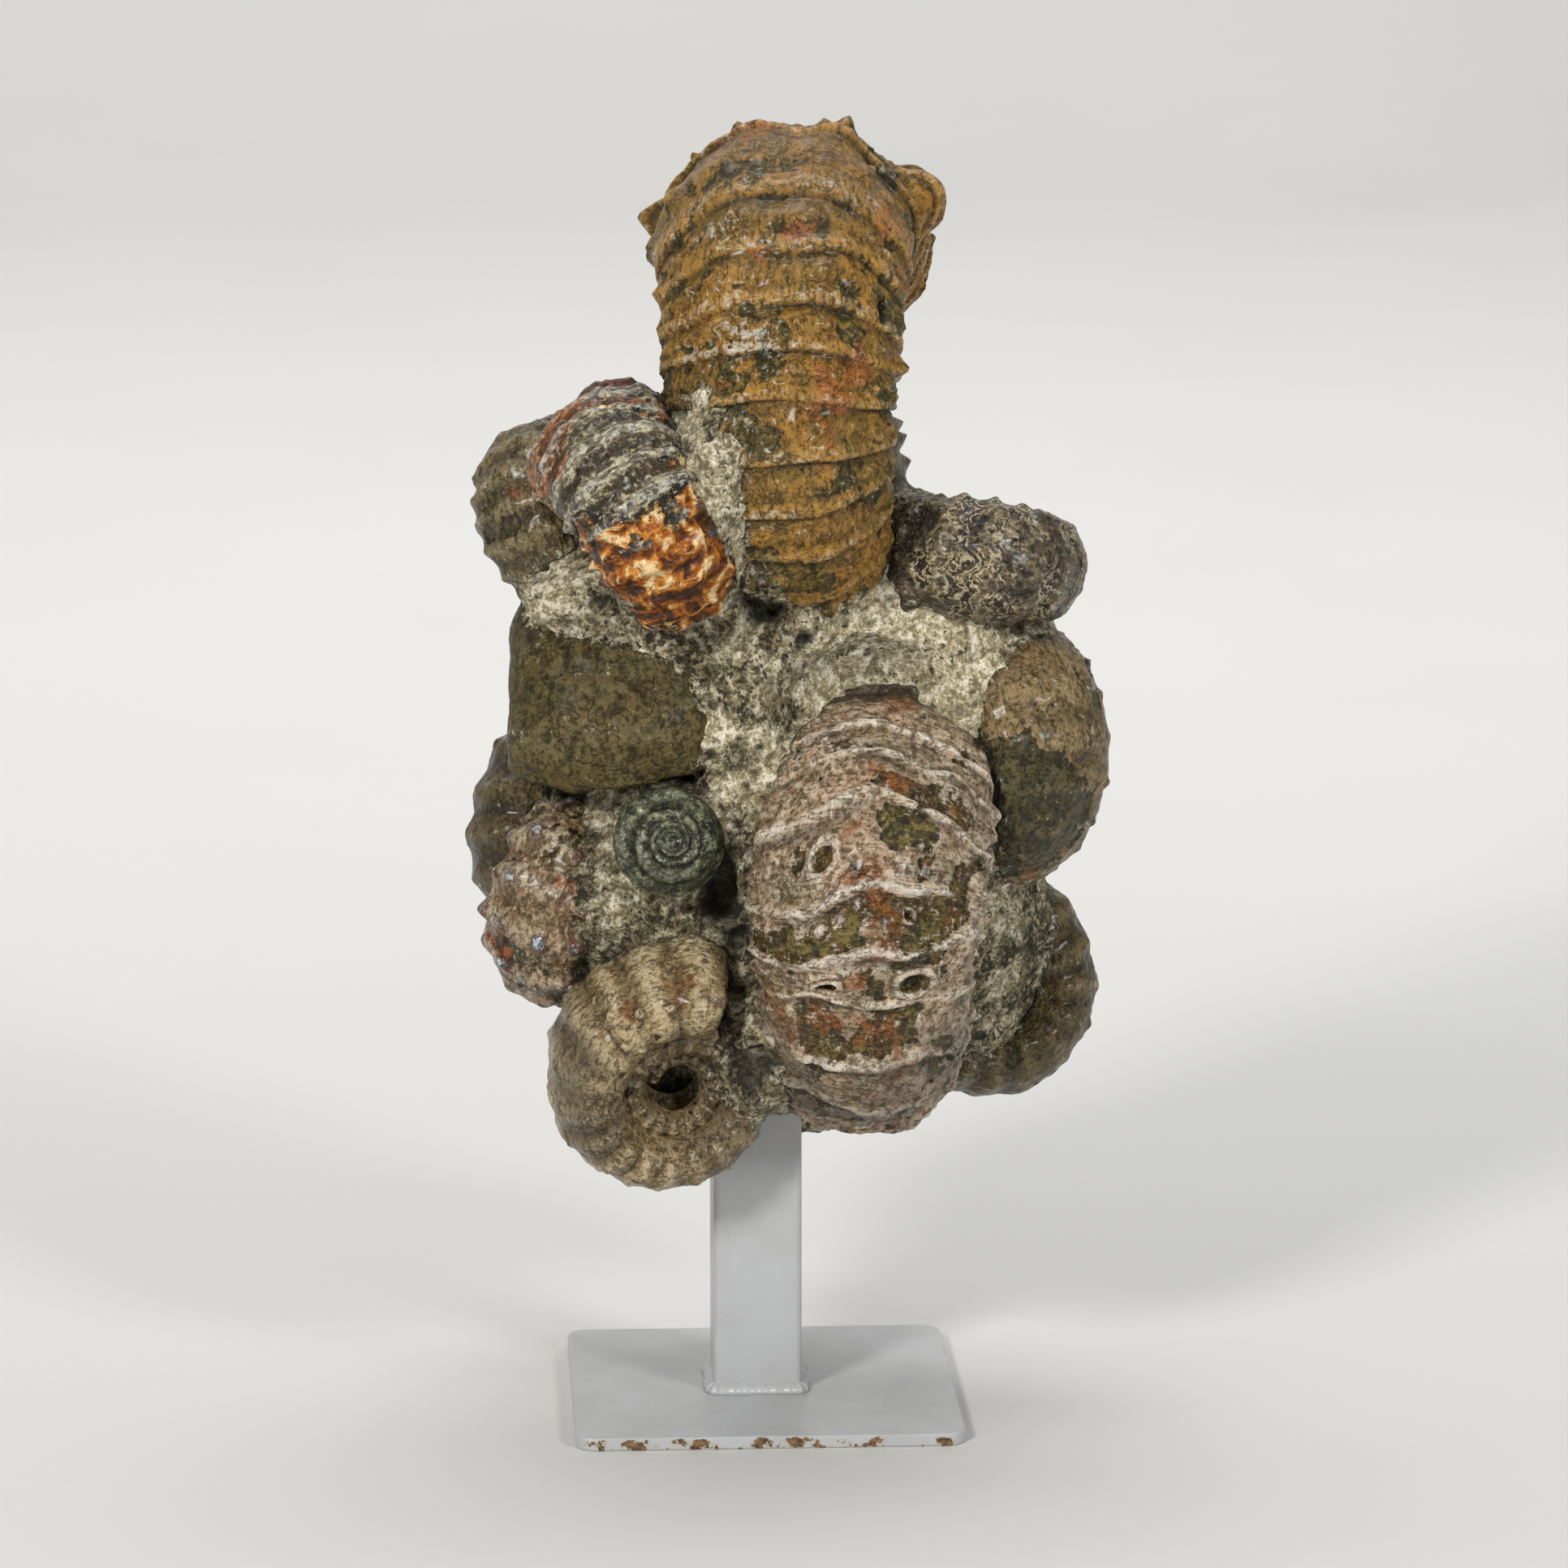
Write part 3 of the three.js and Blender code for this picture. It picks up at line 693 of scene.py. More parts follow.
def weathered_group():
    """The skin of a weathered fossil shell. Clouds of three body colours make the inner mould;
    where the shed mask is below nothing, the outer shell still lies on it as a film with a
    crisp edge. Iron stains follow the stain mask. Ridges and knob tips are lighter, as worn
    shell and, on the ledges, as a painted highlight, and catch painted white glints. Painted
    shade darkens the low parts, the rings round the knobs, the groove mask (the lines of the
    steps and the hollows of ring scars, with the dark spots) and the shut-in places, and stone
    dust clings near the block."""
    tree, given = open_group(
        "weathered_shell", Vector=("where", "flow"), Color=SKIN_COLOURS,
        Float=(*SKIN_AMOUNTS, *SKIN_MASKS),
    )
    where, flow, dark, middle, light, tone, film_one, film_two, rust_tint, rubbed = given[:10]
    film_share, rust_share, rub, flecks, glints, shade, gloss, ridge, groove, knob = given[10:20]
    shed, stain, glint_spots, filled, buried, hollow = given[20:]

    wide = noise(where, 62, 3, 0.5, 0.4)
    patch = noise(where, 150, 3, 0.6, 0.6)
    mid = noise(where, 330, 3, 0.6, 0.5)
    streak = noise(flow, 1.0, 3, 0.6, 0.3)
    fine = between(noise(where, 700, 3, 0.62) * 0.65 + streak * 0.35, 0.0, 1.0, -0.15, 1.15)
    grit = noise(where, 1500, 1, 0.5)
    blend = mid * 0.5 + fine * 0.35 + grit * 0.15
    body = mixed(between(blend, 0.43, 0.49), dark, middle)
    body = mixed(between(blend, 0.505, 0.56), body, light)
    body = mixed(between(patch, 0.45, 0.6, 0, 0.85), body, tone)
    body = mixed(between(blend, 0.5, 0.42, 0, 0.6), body, dark)

    edge = shed + between(fine, 0.3, 0.7, 0.12, -0.12) + between(mid, 0.3, 0.7, 0.16, -0.16)
    film = between(edge, -0.03, 0.03, 1, 0) * film_share
    filmy = mixed(between(blend, 0.42, 0.5), mixed(0.6, film_one, middle), film_one)
    filmy = mixed(between(blend, 0.5, 0.58), filmy, film_two)
    filmy = mixed(between(wide, 0.4, 0.56, 0.55, 0), filmy, middle)
    feather = between(ridge, 0.3, 0.7) * between(streak, 0.42, 0.54)
    colour = mixed(film, body, mixed(feather * 0.6, filmy, film_two))
    lip = between(edge, -0.08, -0.02) * between(edge, 0.0, 0.04, 1, 0)
    colour = mixed(lip * film_share * 0.35, colour, rubbed)

    rusty = between(stain + between(mid, 0.3, 0.7, -0.35, 0.35) + rust_share, 0.95, 1.2)
    rust_colour = mixed(between(blend, 0.41, 0.5), tint("4f2a10"), rust_tint)
    colour = mixed(rusty * 0.8, colour, rust_colour)

    # Painted shade on the low parts of the bands, below the ridges.
    low = between(ridge, 0.6, 0.05) * shade * between(patch, 0.36, 0.52, 0.5, 1.2)
    colour = mixed(low, colour, dark)
    # Painted shade in a ring round the foot of each knob.
    ring = between(knob, 0.08, 0.25) * between(knob, 0.55, 0.35)
    colour = mixed(ring * 0.45, colour, dark)
    # Ridges and knob tips are lighter: worn shell, and on the ledges a painted highlight.
    crest = between(ridge, 0.68, 0.95) * between(patch, 0.34, 0.5)
    tip = between(knob, 0.5, 0.9)
    torn = between(blend, 0.44, 0.53, 0.25, 1.0)
    colour = mixed(most(crest * torn * rub, tip * torn * 0.6), colour, rubbed)

    # Painted highlights: white glints on crests and knob tips, thickest in the glint spots.
    glint = fine + most(crest, tip) * 0.07 + between(patch, 0.4, 0.62, -0.06, 0.05)
    glint = between(glint + glints * 0.1 + glint_spots * 0.15, 0.66, 0.74)
    colour = mixed(glint * 0.7, colour, tint("bfbcae"))
    fleck = between(fine - flecks * 0.1, 0.42, 0.35)
    fleck = most(fleck * 0.46, between(grit, 0.32, 0.25) * 0.5)
    bend = node("TexNoise", {"Vector": where, "Scale": 180, "Detail": 3}, "Color")
    bend = node("VectorMath", {0: bend, "Scale": 0.014}, operation="SCALE")
    bent = node("VectorMath", {0: where, 1: bend}, operation="ADD")
    crack = node("TexVoronoi", {"Vector": bent, "Scale": 130}, feature="DISTANCE_TO_EDGE")
    crack = between(crack, 0.045, 0.012) * between(patch, 0.46, 0.54)
    fleck = most(fleck, crack * 0.6)
    colour = mixed(fleck, colour, tint("1f180e"))
    # Painted shade along the groove mask: the lines of the steps and the hollows of ring scars, with the
    # dark spots.
    crease_shade = groove * between(mid, 0.3, 0.55, 0.4, 1.0)
    colour = mixed(crease_shade * 0.85, colour, tint("241b10"))

    sand = blend * 0.5 + fine * 0.5
    powder = mixed(between(sand, 0.4, 0.5), tint("4d452f"), tint("938a6c"))
    powder = mixed(between(sand, 0.5, 0.6), powder, tint("d0c8b0"))
    powder = mixed(between(grit, 0.42, 0.34, 0, 0.8), powder, tint("1f1c12"))
    dust = buried + between(mid, 0.3, 0.7, -0.4, 0.4) + between(fine, 0.35, 0.65, -0.2, 0.2)
    dust = most(between(dust, 0.6, 0.85, 0, 0.9), filled)
    colour = mixed(dust, colour, powder)
    # Painted shade where the shell is shut in by the stone and the other shells.
    colour = mixed(hollow * 0.8, colour, tint("14110b"))

    roughness = between(mid, 0.38, 0.62, 0.3, 0.62) - gloss * film
    roughness = between(dust, 0, 1, roughness, 0.92)
    height = mid + fine * 0.7 + grit * 0.2 + film * 0.35 - fleck * 0.3 + sand * dust * 1.6
    return close_group(tree, Color=colour, Roughness=roughness, Height=height)


weathered = weathered_group()
SKIN_DEPTH = 0.0013
SKIN_COAT = {"Specular IOR Level": 0.3, "Coat Weight": 0.26, "Coat Roughness": 0.2}
DULL_COAT = {"Specular IOR Level": 0.22, "Coat Weight": 0.06, "Coat Roughness": 0.3}
OCHRE_COAT = {"Specular IOR Level": 0.26, "Coat Weight": 0.2, "Coat Roughness": 0.18}


def start_skin(piece, colours, grain=(0.3, 1.0), **amounts):
    """The material of one shell, not yet joined to its shader: its own colours, given as codes
    in the order of SKIN_COLOURS, and its amounts in the weathered skin. Grain is how many
    streaks there are in a millimetre along and across. Returns the place, masks and skin."""
    where = new_material(piece, piece.name + "_skin")
    masks = {mask: read_mask(where, mask) for mask in ("along", "across", *SKIN_MASKS)}
    flow = {"X": masks["along"] * grain[0], "Y": masks["across"] * grain[1]}
    masks["flow"] = node("CombineXYZ", flow)
    told = {"where": where, **SKIN_AMOUNTS, **amounts}
    told.update(zip(SKIN_COLOURS, map(tint, colours.split())))
    told.update((mask, masks[mask]) for mask in ("flow", *SKIN_MASKS))
    return where, masks, use_group(weathered, told)


def fossil_skin(piece, colours, coat=SKIN_COAT, **amounts):
    """A shell with nothing but the weathered skin."""
    skin = start_skin(piece, colours, **amounts)[2]
    finish_material(skin["Color"], skin["Roughness"], skin["Height"], SKIN_DEPTH, coat)


fossil_skin(
    top, "3a2e12 605224 8c7030 4c4620 906624 b38438 a8622c c0a06a",
    rust_share=0.48, rub=0.32, flecks=0.1, glint=0.2, gloss=0.08, shade=0.36, coat=OCHRE_COAT,
)

# ---- the pinkish shell at the lower middle ----
# The second largest ammonite. Its outer shell is pinkish grey and survives in plates; where they
# have broken off, the olive stone of the inner mould shows, with iron stains and knob sockets.


def ridged_band(share):
    """One band of the centre shell: a narrow sharp ridge at each end and a low swell between.
    Returns its height and a faint line of painted shade beside the ridge, both from 0 to 1."""
    apart = np.minimum(share, 1 - share)
    swell = 0.42 * np.sin(np.pi * share)
    return np.maximum(bell(apart, 0, 0.125), swell), bell(share, 0.16, 0.05)


centre_rows = [
    (22, 0.9, 1.8, 1.8),
    (58, 1.1, 2.2, 2.2),
    (80, 2.4, 2.6, 2.6),
    (108, 1.4, 2.4, 2.4),
]
centre = ammonite(
    "centre", Coil((23, -6, 109), (1, -0.06, -0.03), (0, 0.57, 0.82), -1, 63.5, 47, 61, 1.9, 2.1),
    25, ridged_band, 1.6, centre_rows, (7, 0.42, 0.6), 211,
    fine=0.84, wander=0.42, grooved=0.25, warp=1.2, hold=0.7, rough=1.7,
    broken=0.9,
    uneven={
        4: 0.1, 5: -0.21, 6: -0.21, 7: 0.07, 8: -0.06, 9: 0.13, 10: 0.4, 11: 0.3, 12: 0.25,
    },
    rings=[
        (10.8, -50.6, 138.2, 3.4, 1.3), (11, -56.5, 108.9, 3.5, 1.5),
        (30.5, -57.2, 109.2, 4.4, 1.2), (9.9, -54.9, 125.4, 1.6, 1),
        (11.4, -30.5, 159.9, 1.9, 1), (29.9, -40.2, 76.8, 1.6, 1.2), (28.8, -55.5, 125, 1.3, 1),
    ],
    dents=[
        (28.8, -52.4, 137.9, 4.2, 0.9), (42.6, -49.5, 113.3, 2.4, 2), (29.4, -41.3, 77.2, 1.6, 1.4),
    ],
    bare=[
        (-2.3, -29.5, 147.9, 2.6, 1), (0.5, -46.1, 131.8, 2.8, 1), (13.9, -42, 151.7, 4.2, 1.2),
        (27.9, -52.3, 138.4, 5.2, 1.3), (34.8, -45, 146.6, 4.5, 1.1), (41.1, -42.7, 144, 4.2, 1.1),
        (42.5, -48.1, 130.3, 4.5, 1.2), (2.7, -50.8, 123.8, 4.2, 1.1), (13.5, -56.8, 122.5, 6, 1.3),
        (21.9, -56.7, 128.4, 3.6, 1), (33, -55.7, 123.6, 7, 1.3), (39.1, -52.6, 122.6, 5, 1),
        (3.3, -51.8, 109.2, 2.6, 0.9), (11.8, -50.7, 90.1, 6.5, 1), (22.4, -52.9, 90.5, 4.5, 0.9),
        (9.3, -16.1, 165.2, 3, 1.2), (5.7, -41.3, 147.3, 1.3, 1.2), (33.3, -54.4, 100.9, 4.5, 1),
        (40, -44.5, 90.6, 4.5, 1), (27.7, -43.8, 151, 4.5, 0.7), (16.2, -57.8, 109.3, 4, 0.6),
        (9, -53.1, 98.2, 6, 0.7), (23.3, -55.2, 96, 5.5, 0.7), (29, -57, 107, 7, 0.5),
    ],
    # Painted shade on the low part of the shell.
    dark_spots=[
        (10, -38, 76, 13, 0.7), (26, -44, 78, 13, 0.7), (42, -38, 84, 12, 0.7), (2, -40, 90, 9, 0.6),
    ],
    stains=[
        (27.7, -43.8, 151, 6, 0.9), (41.1, -42.7, 144, 3, 0.7), (18.7, -55.4, 131.8, 4, 0.5),
        (39.1, -52.6, 120, 3.5, 0.6), (43.8, -47.9, 112.7, 4, 0.8), (16.2, -57.8, 109.3, 5, 0.7),
        (9, -53.1, 98.2, 6.5, 0.8), (23.3, -55.2, 96, 6, 0.6), (20, -47, 84, 7, 0.4),
        (11, -42, 154, 8, -0.3), (33, -55, 124, 5, -0.5), (13, -57, 122, 5, -0.5),
    ],
    # Patches of painted white glints.
    glint_spots=[
        (18, -46, 148, 5, 0.5), (26, -54, 131.5, 5, 0.5), (12, -36, 156.5, 5, 0.5),
        (13, -57.5, 117.5, 6, 0.6), (33, -56.5, 116, 5, 0.5), (36, -38, 152, 4, 0.7),
        (42, -40, 148, 4, 0.7), (14, -57.5, 114.8, 2, 1),
    ],
)
fossil_skin(
    centre, "2b2610 52481f 7a6a36 6b4a1a b89878 dccab0 8e5218 ece2d0",
    rust_share=0.42, rub=0.9, flecks=0.3, glint=0.6, gloss=0.12, shade=0.15, grain=(1.3, 0.22),
)

# ---- the amber shell at the upper left ----
# A small ammonite whose lower half has lost its shell, so that the honey-coloured calcite that
# fills it shines through. The upper half keeps a grey, flaking shell.


def round_ribs(share):
    """Plain round ribs: a raised cosine with a line of painted shade in the trough."""
    wave = 0.5 - 0.5 * np.cos(2 * np.pi * share)
    return wave, bell(np.minimum(share, 1 - share), 0, 0.07)


amber_rows = [
    (18, 1.4, 1.5, 1.4),
    (52, 1.7, 1.6, 1.6),
    (92, 1.6, 1.8, 1.8),
]
amber = ammonite(
    "amber", Coil((-26.5, -28, 205.6), (0.88, 0.05, 0.47), (-0.35, 0.75, 0.57), -1, 33, 26, 35, 1.8, 1.8),
    20, round_ribs, 0.9, amber_rows, (6, 0.15, 0.5), 307,
    fine=0.6, wander=0.35, warp=0.8, rough=1.6, vary=0.7,
    bare=[
        (-27, -55, 198, 13, 1.3), (-13, -50, 200, 12, 1.2), (-38, -48, 200, 8, 0.9),
        (-20, -46, 186, 15, 1.6), (-14, -49, 212, 6, 0.7), (-28, -52, 226, 16, -0.4),
    ],
)


def calcite_group():
    """Honey calcite broken into flakes: two bent cloud patterns added and cut into crisp steps
    from deep brown through orange to cream, with a low relief that follows the same steps."""
    tree, (where, flow) = open_group("broken_calcite", Vector=("where", "flow"))
    small = noise(where, 230, 2, 0.5, 1.4)
    level = noise(where, 95, 2, 0.5, 1.2) * 0.5 + small * 0.3
    level += noise(flow, 0.22, 2, 0.5, 0.8) * 0.2
    level += between(noise(where, 620, 2, 0.6), 0, 1, -0.06, 0.06)
    colour = tint("241004")
    for low, high, code in (
        (0.4, 0.44, "5a2c07"), (0.455, 0.485, "9a540e"), (0.5, 0.53, "cc842c"), (0.54, 0.565, "eacb94"),
    ):
        colour = mixed(between(level, low, high), colour, tint(code))
    colour = mixed(between(noise(where, 900, 2, 0.6), 0.44, 0.36, 0, 0.5), colour, tint("5a2c0a"))
    return close_group(tree, Color=colour, Height=between(level, 0.4, 0.6) + small * 0.5)


where, masks, skin = start_skin(
    amber, "100b06 503c20 b39a64 242019 5e5034 cbbf9c b5661a d2d0c4",
    rust_share=0.84, rub=0.5, flecks=1.0, glint=0.8, gloss=0.15, shade=0.35, grain=(1.1, 0.25),
)
glow = use_group(calcite_group(), {"where": where, "flow": masks["flow"]})
torn = masks["shed"] + between(noise(where, 210, 4, 0.6), 0.3, 0.7, -0.9, 0.9)
shown = between(torn, 0.5, 0.66) * between(masks["buried"], 0.9, 0.6)
shown *= between(masks["hollow"], 0.8, 0.3, 0.3, 1.0)
bruise = masks["knob"] + between(noise(where, 300, 3, 0.6), 0.3, 0.7, -0.5, 0.5)
colour = mixed(between(bruise, 0.6, 0.8) * 0.85, glow["Color"], tint("2e322e"))
colour = mixed(shown, skin["Color"], colour)
roughness = between(shown, 0, 1, skin["Roughness"], 0.22)
height = mixed(shown, skin["Height"], glow["Height"])
finish_material(colour, roughness, height, 0.0014, SKIN_COAT)

# ---- the purple-black shell at the right shoulder ----
# An ammonite worn down to its inner mould. The frilled edges of its chamber walls, the sutures,
# show as cream lines that branch like ferns on the dark stone.


def faint_ribs(share):
    """Hardly any rib: a very low wave and no line of painted shade."""
    return 0.5 - 0.5 * np.cos(2 * np.pi * share), 0 * share


sutured = ammonite(
    "sutured", Coil((50, 2, 191), (0.1, 0.2, 0.97), (-0.7, 0.71, 0), -1, 32, 25, 32, 1.8, 1.8),
    15, faint_ribs, 0.6,
    [(22, 0.7, 1.8, 1.8), (55, 1.0, 2.0, 2.0), (90, 0.9, 2.0, 2.0)],
    (7, 0.5, 0.4), 401, fine=0.62, warp=0.8, rough=1.3,
)

where, masks, skin = start_skin(
    sutured, "120e0c 2e261e 5c4c38 2a2029 4a3c2c 90805c 553818 8a7c60",
    rust_share=0.1, rub=0.3, flecks=0.3, glint=0.1, film_share=0.5, shade=0.0,
)
# The suture is the wavy line along + waves of across, folded every few millimetres.
frill = calc("PINGPONG", masks["across"], 2.9) * 1.1
fringe = noise(where, 260, 3, 0.75, 1.0) * 14.0
suture = between(calc("PINGPONG", masks["along"] + frill + fringe, 1.7), 0.45, 0.7, 1, 0)
suture *= between(noise(where, 110, 3, 0.6), 0.46, 0.54, 0.05, 1)
suture *= between(masks["buried"], 0.8, 0.5)
cream = mixed(noise(where, 900, 2, 0.6), tint("8a7a58"), tint("e6d8b2"))
colour = mixed(suture * 0.85, skin["Color"], cream)
finish_material(colour, skin["Roughness"], skin["Height"], SKIN_DEPTH, SKIN_COAT)

# ---- the brown shell at the right edge ----
# An ammonite seen on its outer edge. Half of its brown shell has gone from the olive mould.

right = ammonite(
    "right", Coil((51, 5, 144), (0.87, 0.49, -0.1), (-0.1, 0.4, 0.91), -1, 38, 29, 40, 1.8, 1.8),
    18, faint_ribs, 0.35,
    [(20, 0.5, 1.6, 1.5), (52, 1.2, 1.6, 1.6), (88, 1.9, 1.8, 1.8)],
    (9, 0.6, 0.5), 503, fine=0.68, warp=1.0, hold=0.0, rough=1.3,
    bare=[(57, -25, 138, 15, 2), (54, -26, 150, 8, 1.2), (66, -16, 150, 5, 0.8)],
)
fossil_skin(
    right, "28230f 443c1c 5a5230 3c3618 7c6440 9c845c 84502a a08c64",
    rust_share=0.3, rub=0.15, flecks=0.1, glint=0.1, shade=0.0,
)

# ---- the smooth olive mould at the left ----
# The stone filling of an ammonite's body chamber: it never had ribs inside, so it is smooth,
# with fine growth streaks, small pits and a few pale scratches.

olive = ammonite(
    "olive", Coil((-32, 6, 159), (0.99, -0.03, 0.1), (0.08, -0.95, -0.3), 1, 37, 30, 50, 1.6, 1.6),
    10, faint_ribs, 0.35, [], (9, 2.0, 0.3), 601, fine=0.75, warp=0.6, rough=0.6,
)
fossil_skin(
    olive, "342d15 4f4625 6a603c 64532c 4c4a2c 5a5436 6e4a22 8a8268",
    film_share=0.0, rust_share=0.15, rub=0.15, flecks=-0.1, glint=-0.1, coat=DULL_COAT,
    grain=(0.12, 0.6),
)

# ---- the beige shell at the lower left ----
# An ammonite that lies flat to the front, the only one whose open coil can be looked into. Each
# rib carries small ring-shaped scars of broken knobs.

spiral = ammonite(
    "spiral", Coil((-20.5, -22, 80), (0.13, -0.97, -0.21), (0.3, -0.17, 0.94), -1, 34, 21, 36, 1.8, 1.8),
    18, round_ribs, 0.75,
    [(28, 0.8, 1.5, 1.5), (62, 0.8, 1.4, 1.4), (100, 1.1, 1.5, 1.5)],
    (8, 0.6, 0.45), 701, fine=0.62, fine_turns=1.3, warp=0.7, turns=2.3,
    # Darker patches on the middle of the coil and on its left side.
    dark_spots=[
        (-20, -36, 79, 12, 0.85), (-8, -34, 82, 11, 0.75), (-10, -34, 68, 13, 0.65),
        (-44, -39, 85, 10, 0.75), (-42, -37, 71, 11, 0.75), (-48, -28, 94, 8, 0.6),
    ],
    rings=[
        (-36.3, -42, 99.2, 1.7, 0.8), (-28.3, -44.7, 100.8, 1.7, 0.8),
        (-21, -45.5, 101.6, 1.7, 0.8), (-44.2, -39.9, 84.4, 1.5, 0.7),
        (-46, -30.9, 69.4, 1.5, 0.7), (-33.1, -27.6, 110.4, 1.6, 0.7),
        (-40.5, -35.5, 101.5, 1.4, 0.7),
    ],
)
fossil_skin(
    spiral, "2a2110 6e5a37 a68f64 4c4829 97815a c8b288 7a4a1c d4c19c",
    rust_share=0.3, rub=0.6, flecks=0.15, glint=0.15, shade=0.15,
)

# ---- the dull brown shell low at the right ----
# An ammonite that shows its flank behind the pinkish one, its ribs rubbed nearly flat.

low_right = ammonite(
    "low_right", Coil((50, 12, 91), (0.3, -0.93, 0.2), (-0.5, -0.1, 0.85), 1, 31, 24, 32, 1.5, 1.4),
    16, round_ribs, 0.6,
    [(40, 0.7, 1.8, 1.8), (90, 0.8, 2.0, 2.0)],
    (8, 0.7, 0.4), 809, fine=0.68, warp=1.0, rough=1.3,
)
fossil_skin(
    low_right, "2a220c 4c3f1c 6e5c2e 4a4520 524422 705e34 6a4018 85744e",
    rust_share=0.35, rub=0.5, flecks=0.15,
)

# ---- the rusty shell at the left ----
# An ammonite with tall knobs, which are filled with sparkling blue-white calcite where they
# have broken open, on olive and rust-red stone.

knobby = ammonite(
    "knobby", Coil((-42, -2, 114.5), (0.82, -0.48, -0.3), (0.5, 0.56, 0.65), -1, 29, 23, 31, 1.6, 1.6),
    14, faint_ribs, 0.9,
    [(22, 2.1, 2.4, 2.4), (58, 2.6, 2.6, 2.6), (92, 2.2, 2.4, 2.4)],
    (7, 0.3, 0.45), 907, fine=0.62, warp=0.9, rough=1.3, vary=0.7,
)

where, masks, skin = start_skin(
    knobby, "261a0c 604a28 9c825a 4f4a26 82684a bca888 9a481c b8aa92",
    rust_share=0.6, rub=0.6, flecks=0.3, glint=0.5, gloss=0.1, shade=0.15,
)
crystal = node("TexVoronoi", {"Vector": where, "Scale": 1100}, "Color")
crystal = node("SeparateColor", {"Color": crystal})
sparkle = mixed(crystal, tint("3c4650"), tint("dfe6ea"))
ragged = masks["knob"] + between(noise(where, 480, 3, 0.6), 0.3, 0.7, -0.3, 0.3)
broken_open = between(ragged, 0.55, 0.66) * between(masks["buried"], 0.8, 0.5)
colour = mixed(between(ragged, 0.3, 0.42) * 0.8, skin["Color"], tint("5f2f18"))
colour = mixed(broken_open, colour, sparkle)
roughness = between(broken_open, 0, 1, skin["Roughness"], 0.2)
height = skin["Height"] + crystal * broken_open * 0.6
finish_material(colour, roughness, height, SKIN_DEPTH, SKIN_COAT)

# ---- the grey-brown shells at the far left ----
# Two ammonites of one kind: one at the shoulder, and one of which only the scalloped outer edge
# stands out at the side.

left_shoulder = ammonite(
    "left_shoulder",
    Coil((-45, 4, 200.5), (0.76, -0.49, 0.42), (-0.04, 0.61, 0.79), -1, 24, 18, 28, 1.8, 1.8),
    16, faint_ribs, 0.7,
    [(20, 0.9, 1.5, 1.5), (56, 1.3, 1.5, 1.5), (92, 1.4, 1.6, 1.6)],
    (7, 0.4, 0.45), 1009, fine=0.62, warp=0.8, rough=1.2,
)
left_edge = ammonite(
    "left_edge", Coil((-38, 20, 125), (0.45, -0.85, 0.2), (0.6, 0.3, 0.75), -1, 33, 25, 30, 1.5, 1.5),
    16, round_ribs, 1.3,
    [(24, 0.8, 1.7, 1.7), (60, 1.0, 1.7, 1.7)],
    (9, 0.9, 0.4), 1103, fine=0.68, warp=0.6,
)
fossil_skin(
    left_shoulder, "2c2410 4e4424 716542 403c1e 605030 86764e 8a4418 9a8c6a",
    rust_share=0.35, rub=0.6, flecks=0.25, glint=0.1,
)
fossil_skin(
    left_edge, "221a0a 3e3216 5a4a26 363012 483a1c 62522e 5a3a18 74653f",
    rust_share=0.25, rub=0.6, flecks=0.0,
)

# ---- the small dark coil ----
# The innermost turns of an ammonite, dark green and nearly smooth, with fine rings.

dark_nucleus_coil = Coil(
    (-22, -31.5, 136), (0.05, -0.98, 0.2), (0, 0.2, 0.98), 1, 12.5, 9, 18, 1.8, 1.8
)
NUCLEUS_RADIUS = 11.6
NUCLEUS_DEPTH = 8.5
NUCLEUS_RINGS = 110
NUCLEUS_COLUMNS = 150
NUCLEUS_GROWTH = 1.62


def coiled_dome(coil, radius, depth, growth, rings, columns):
    """A flattened ball whose front carries the turns of a coil. The reach from the axis is the
    cosine of a tilt and the place along it the sine; the turns are a spiral groove, where the
    logarithm of the reach and the way round add up to a whole number, with a swell between."""
    tilt = np.linspace(-89, 89, rings)[:, None] * np.pi / 180
    turn = np.linspace(0, 2 * np.pi, columns, endpoint=False)[None, :]
    reach = radius * np.cos(tilt) ** 0.8
    place = depth * np.sin(tilt) + 0 * turn
    coiled = np.log(radius * 1.04 / np.maximum(reach, 0.4)) / np.log(growth) + turn / (2 * np.pi)
    share = coiled % 1.0
    swell = np.sin(np.pi * share) ** 0.6
    groove = bell(np.minimum(share, 1 - share), 0, 0.09) * (reach > 0.8)
    fine = 0.5 + 0.5 * np.cos(22 * turn + 5 * share)
    lift = (0.9 * swell - 0.25 * groove + 0.16 * fine * swell) * eased(reach, 0.3, 3.5)
    lift = lift * eased(np.sin(tilt), -0.2, 0.15)
    out = reach + lift * np.cos(tilt)
    flat = np.stack([out * np.cos(turn), out * np.sin(turn), place + lift * np.sin(tilt)], -1)
    grid = flat @ coil_frame(coil) + np.array(coil.centre)
    rough = 0.3 * lumps(grid, 5, 1201, 3) + 0.1 * lumps(grid, 1.2, 1205, 2)
    return grid + surface_normals(grid) * rough[..., None], groove, swell


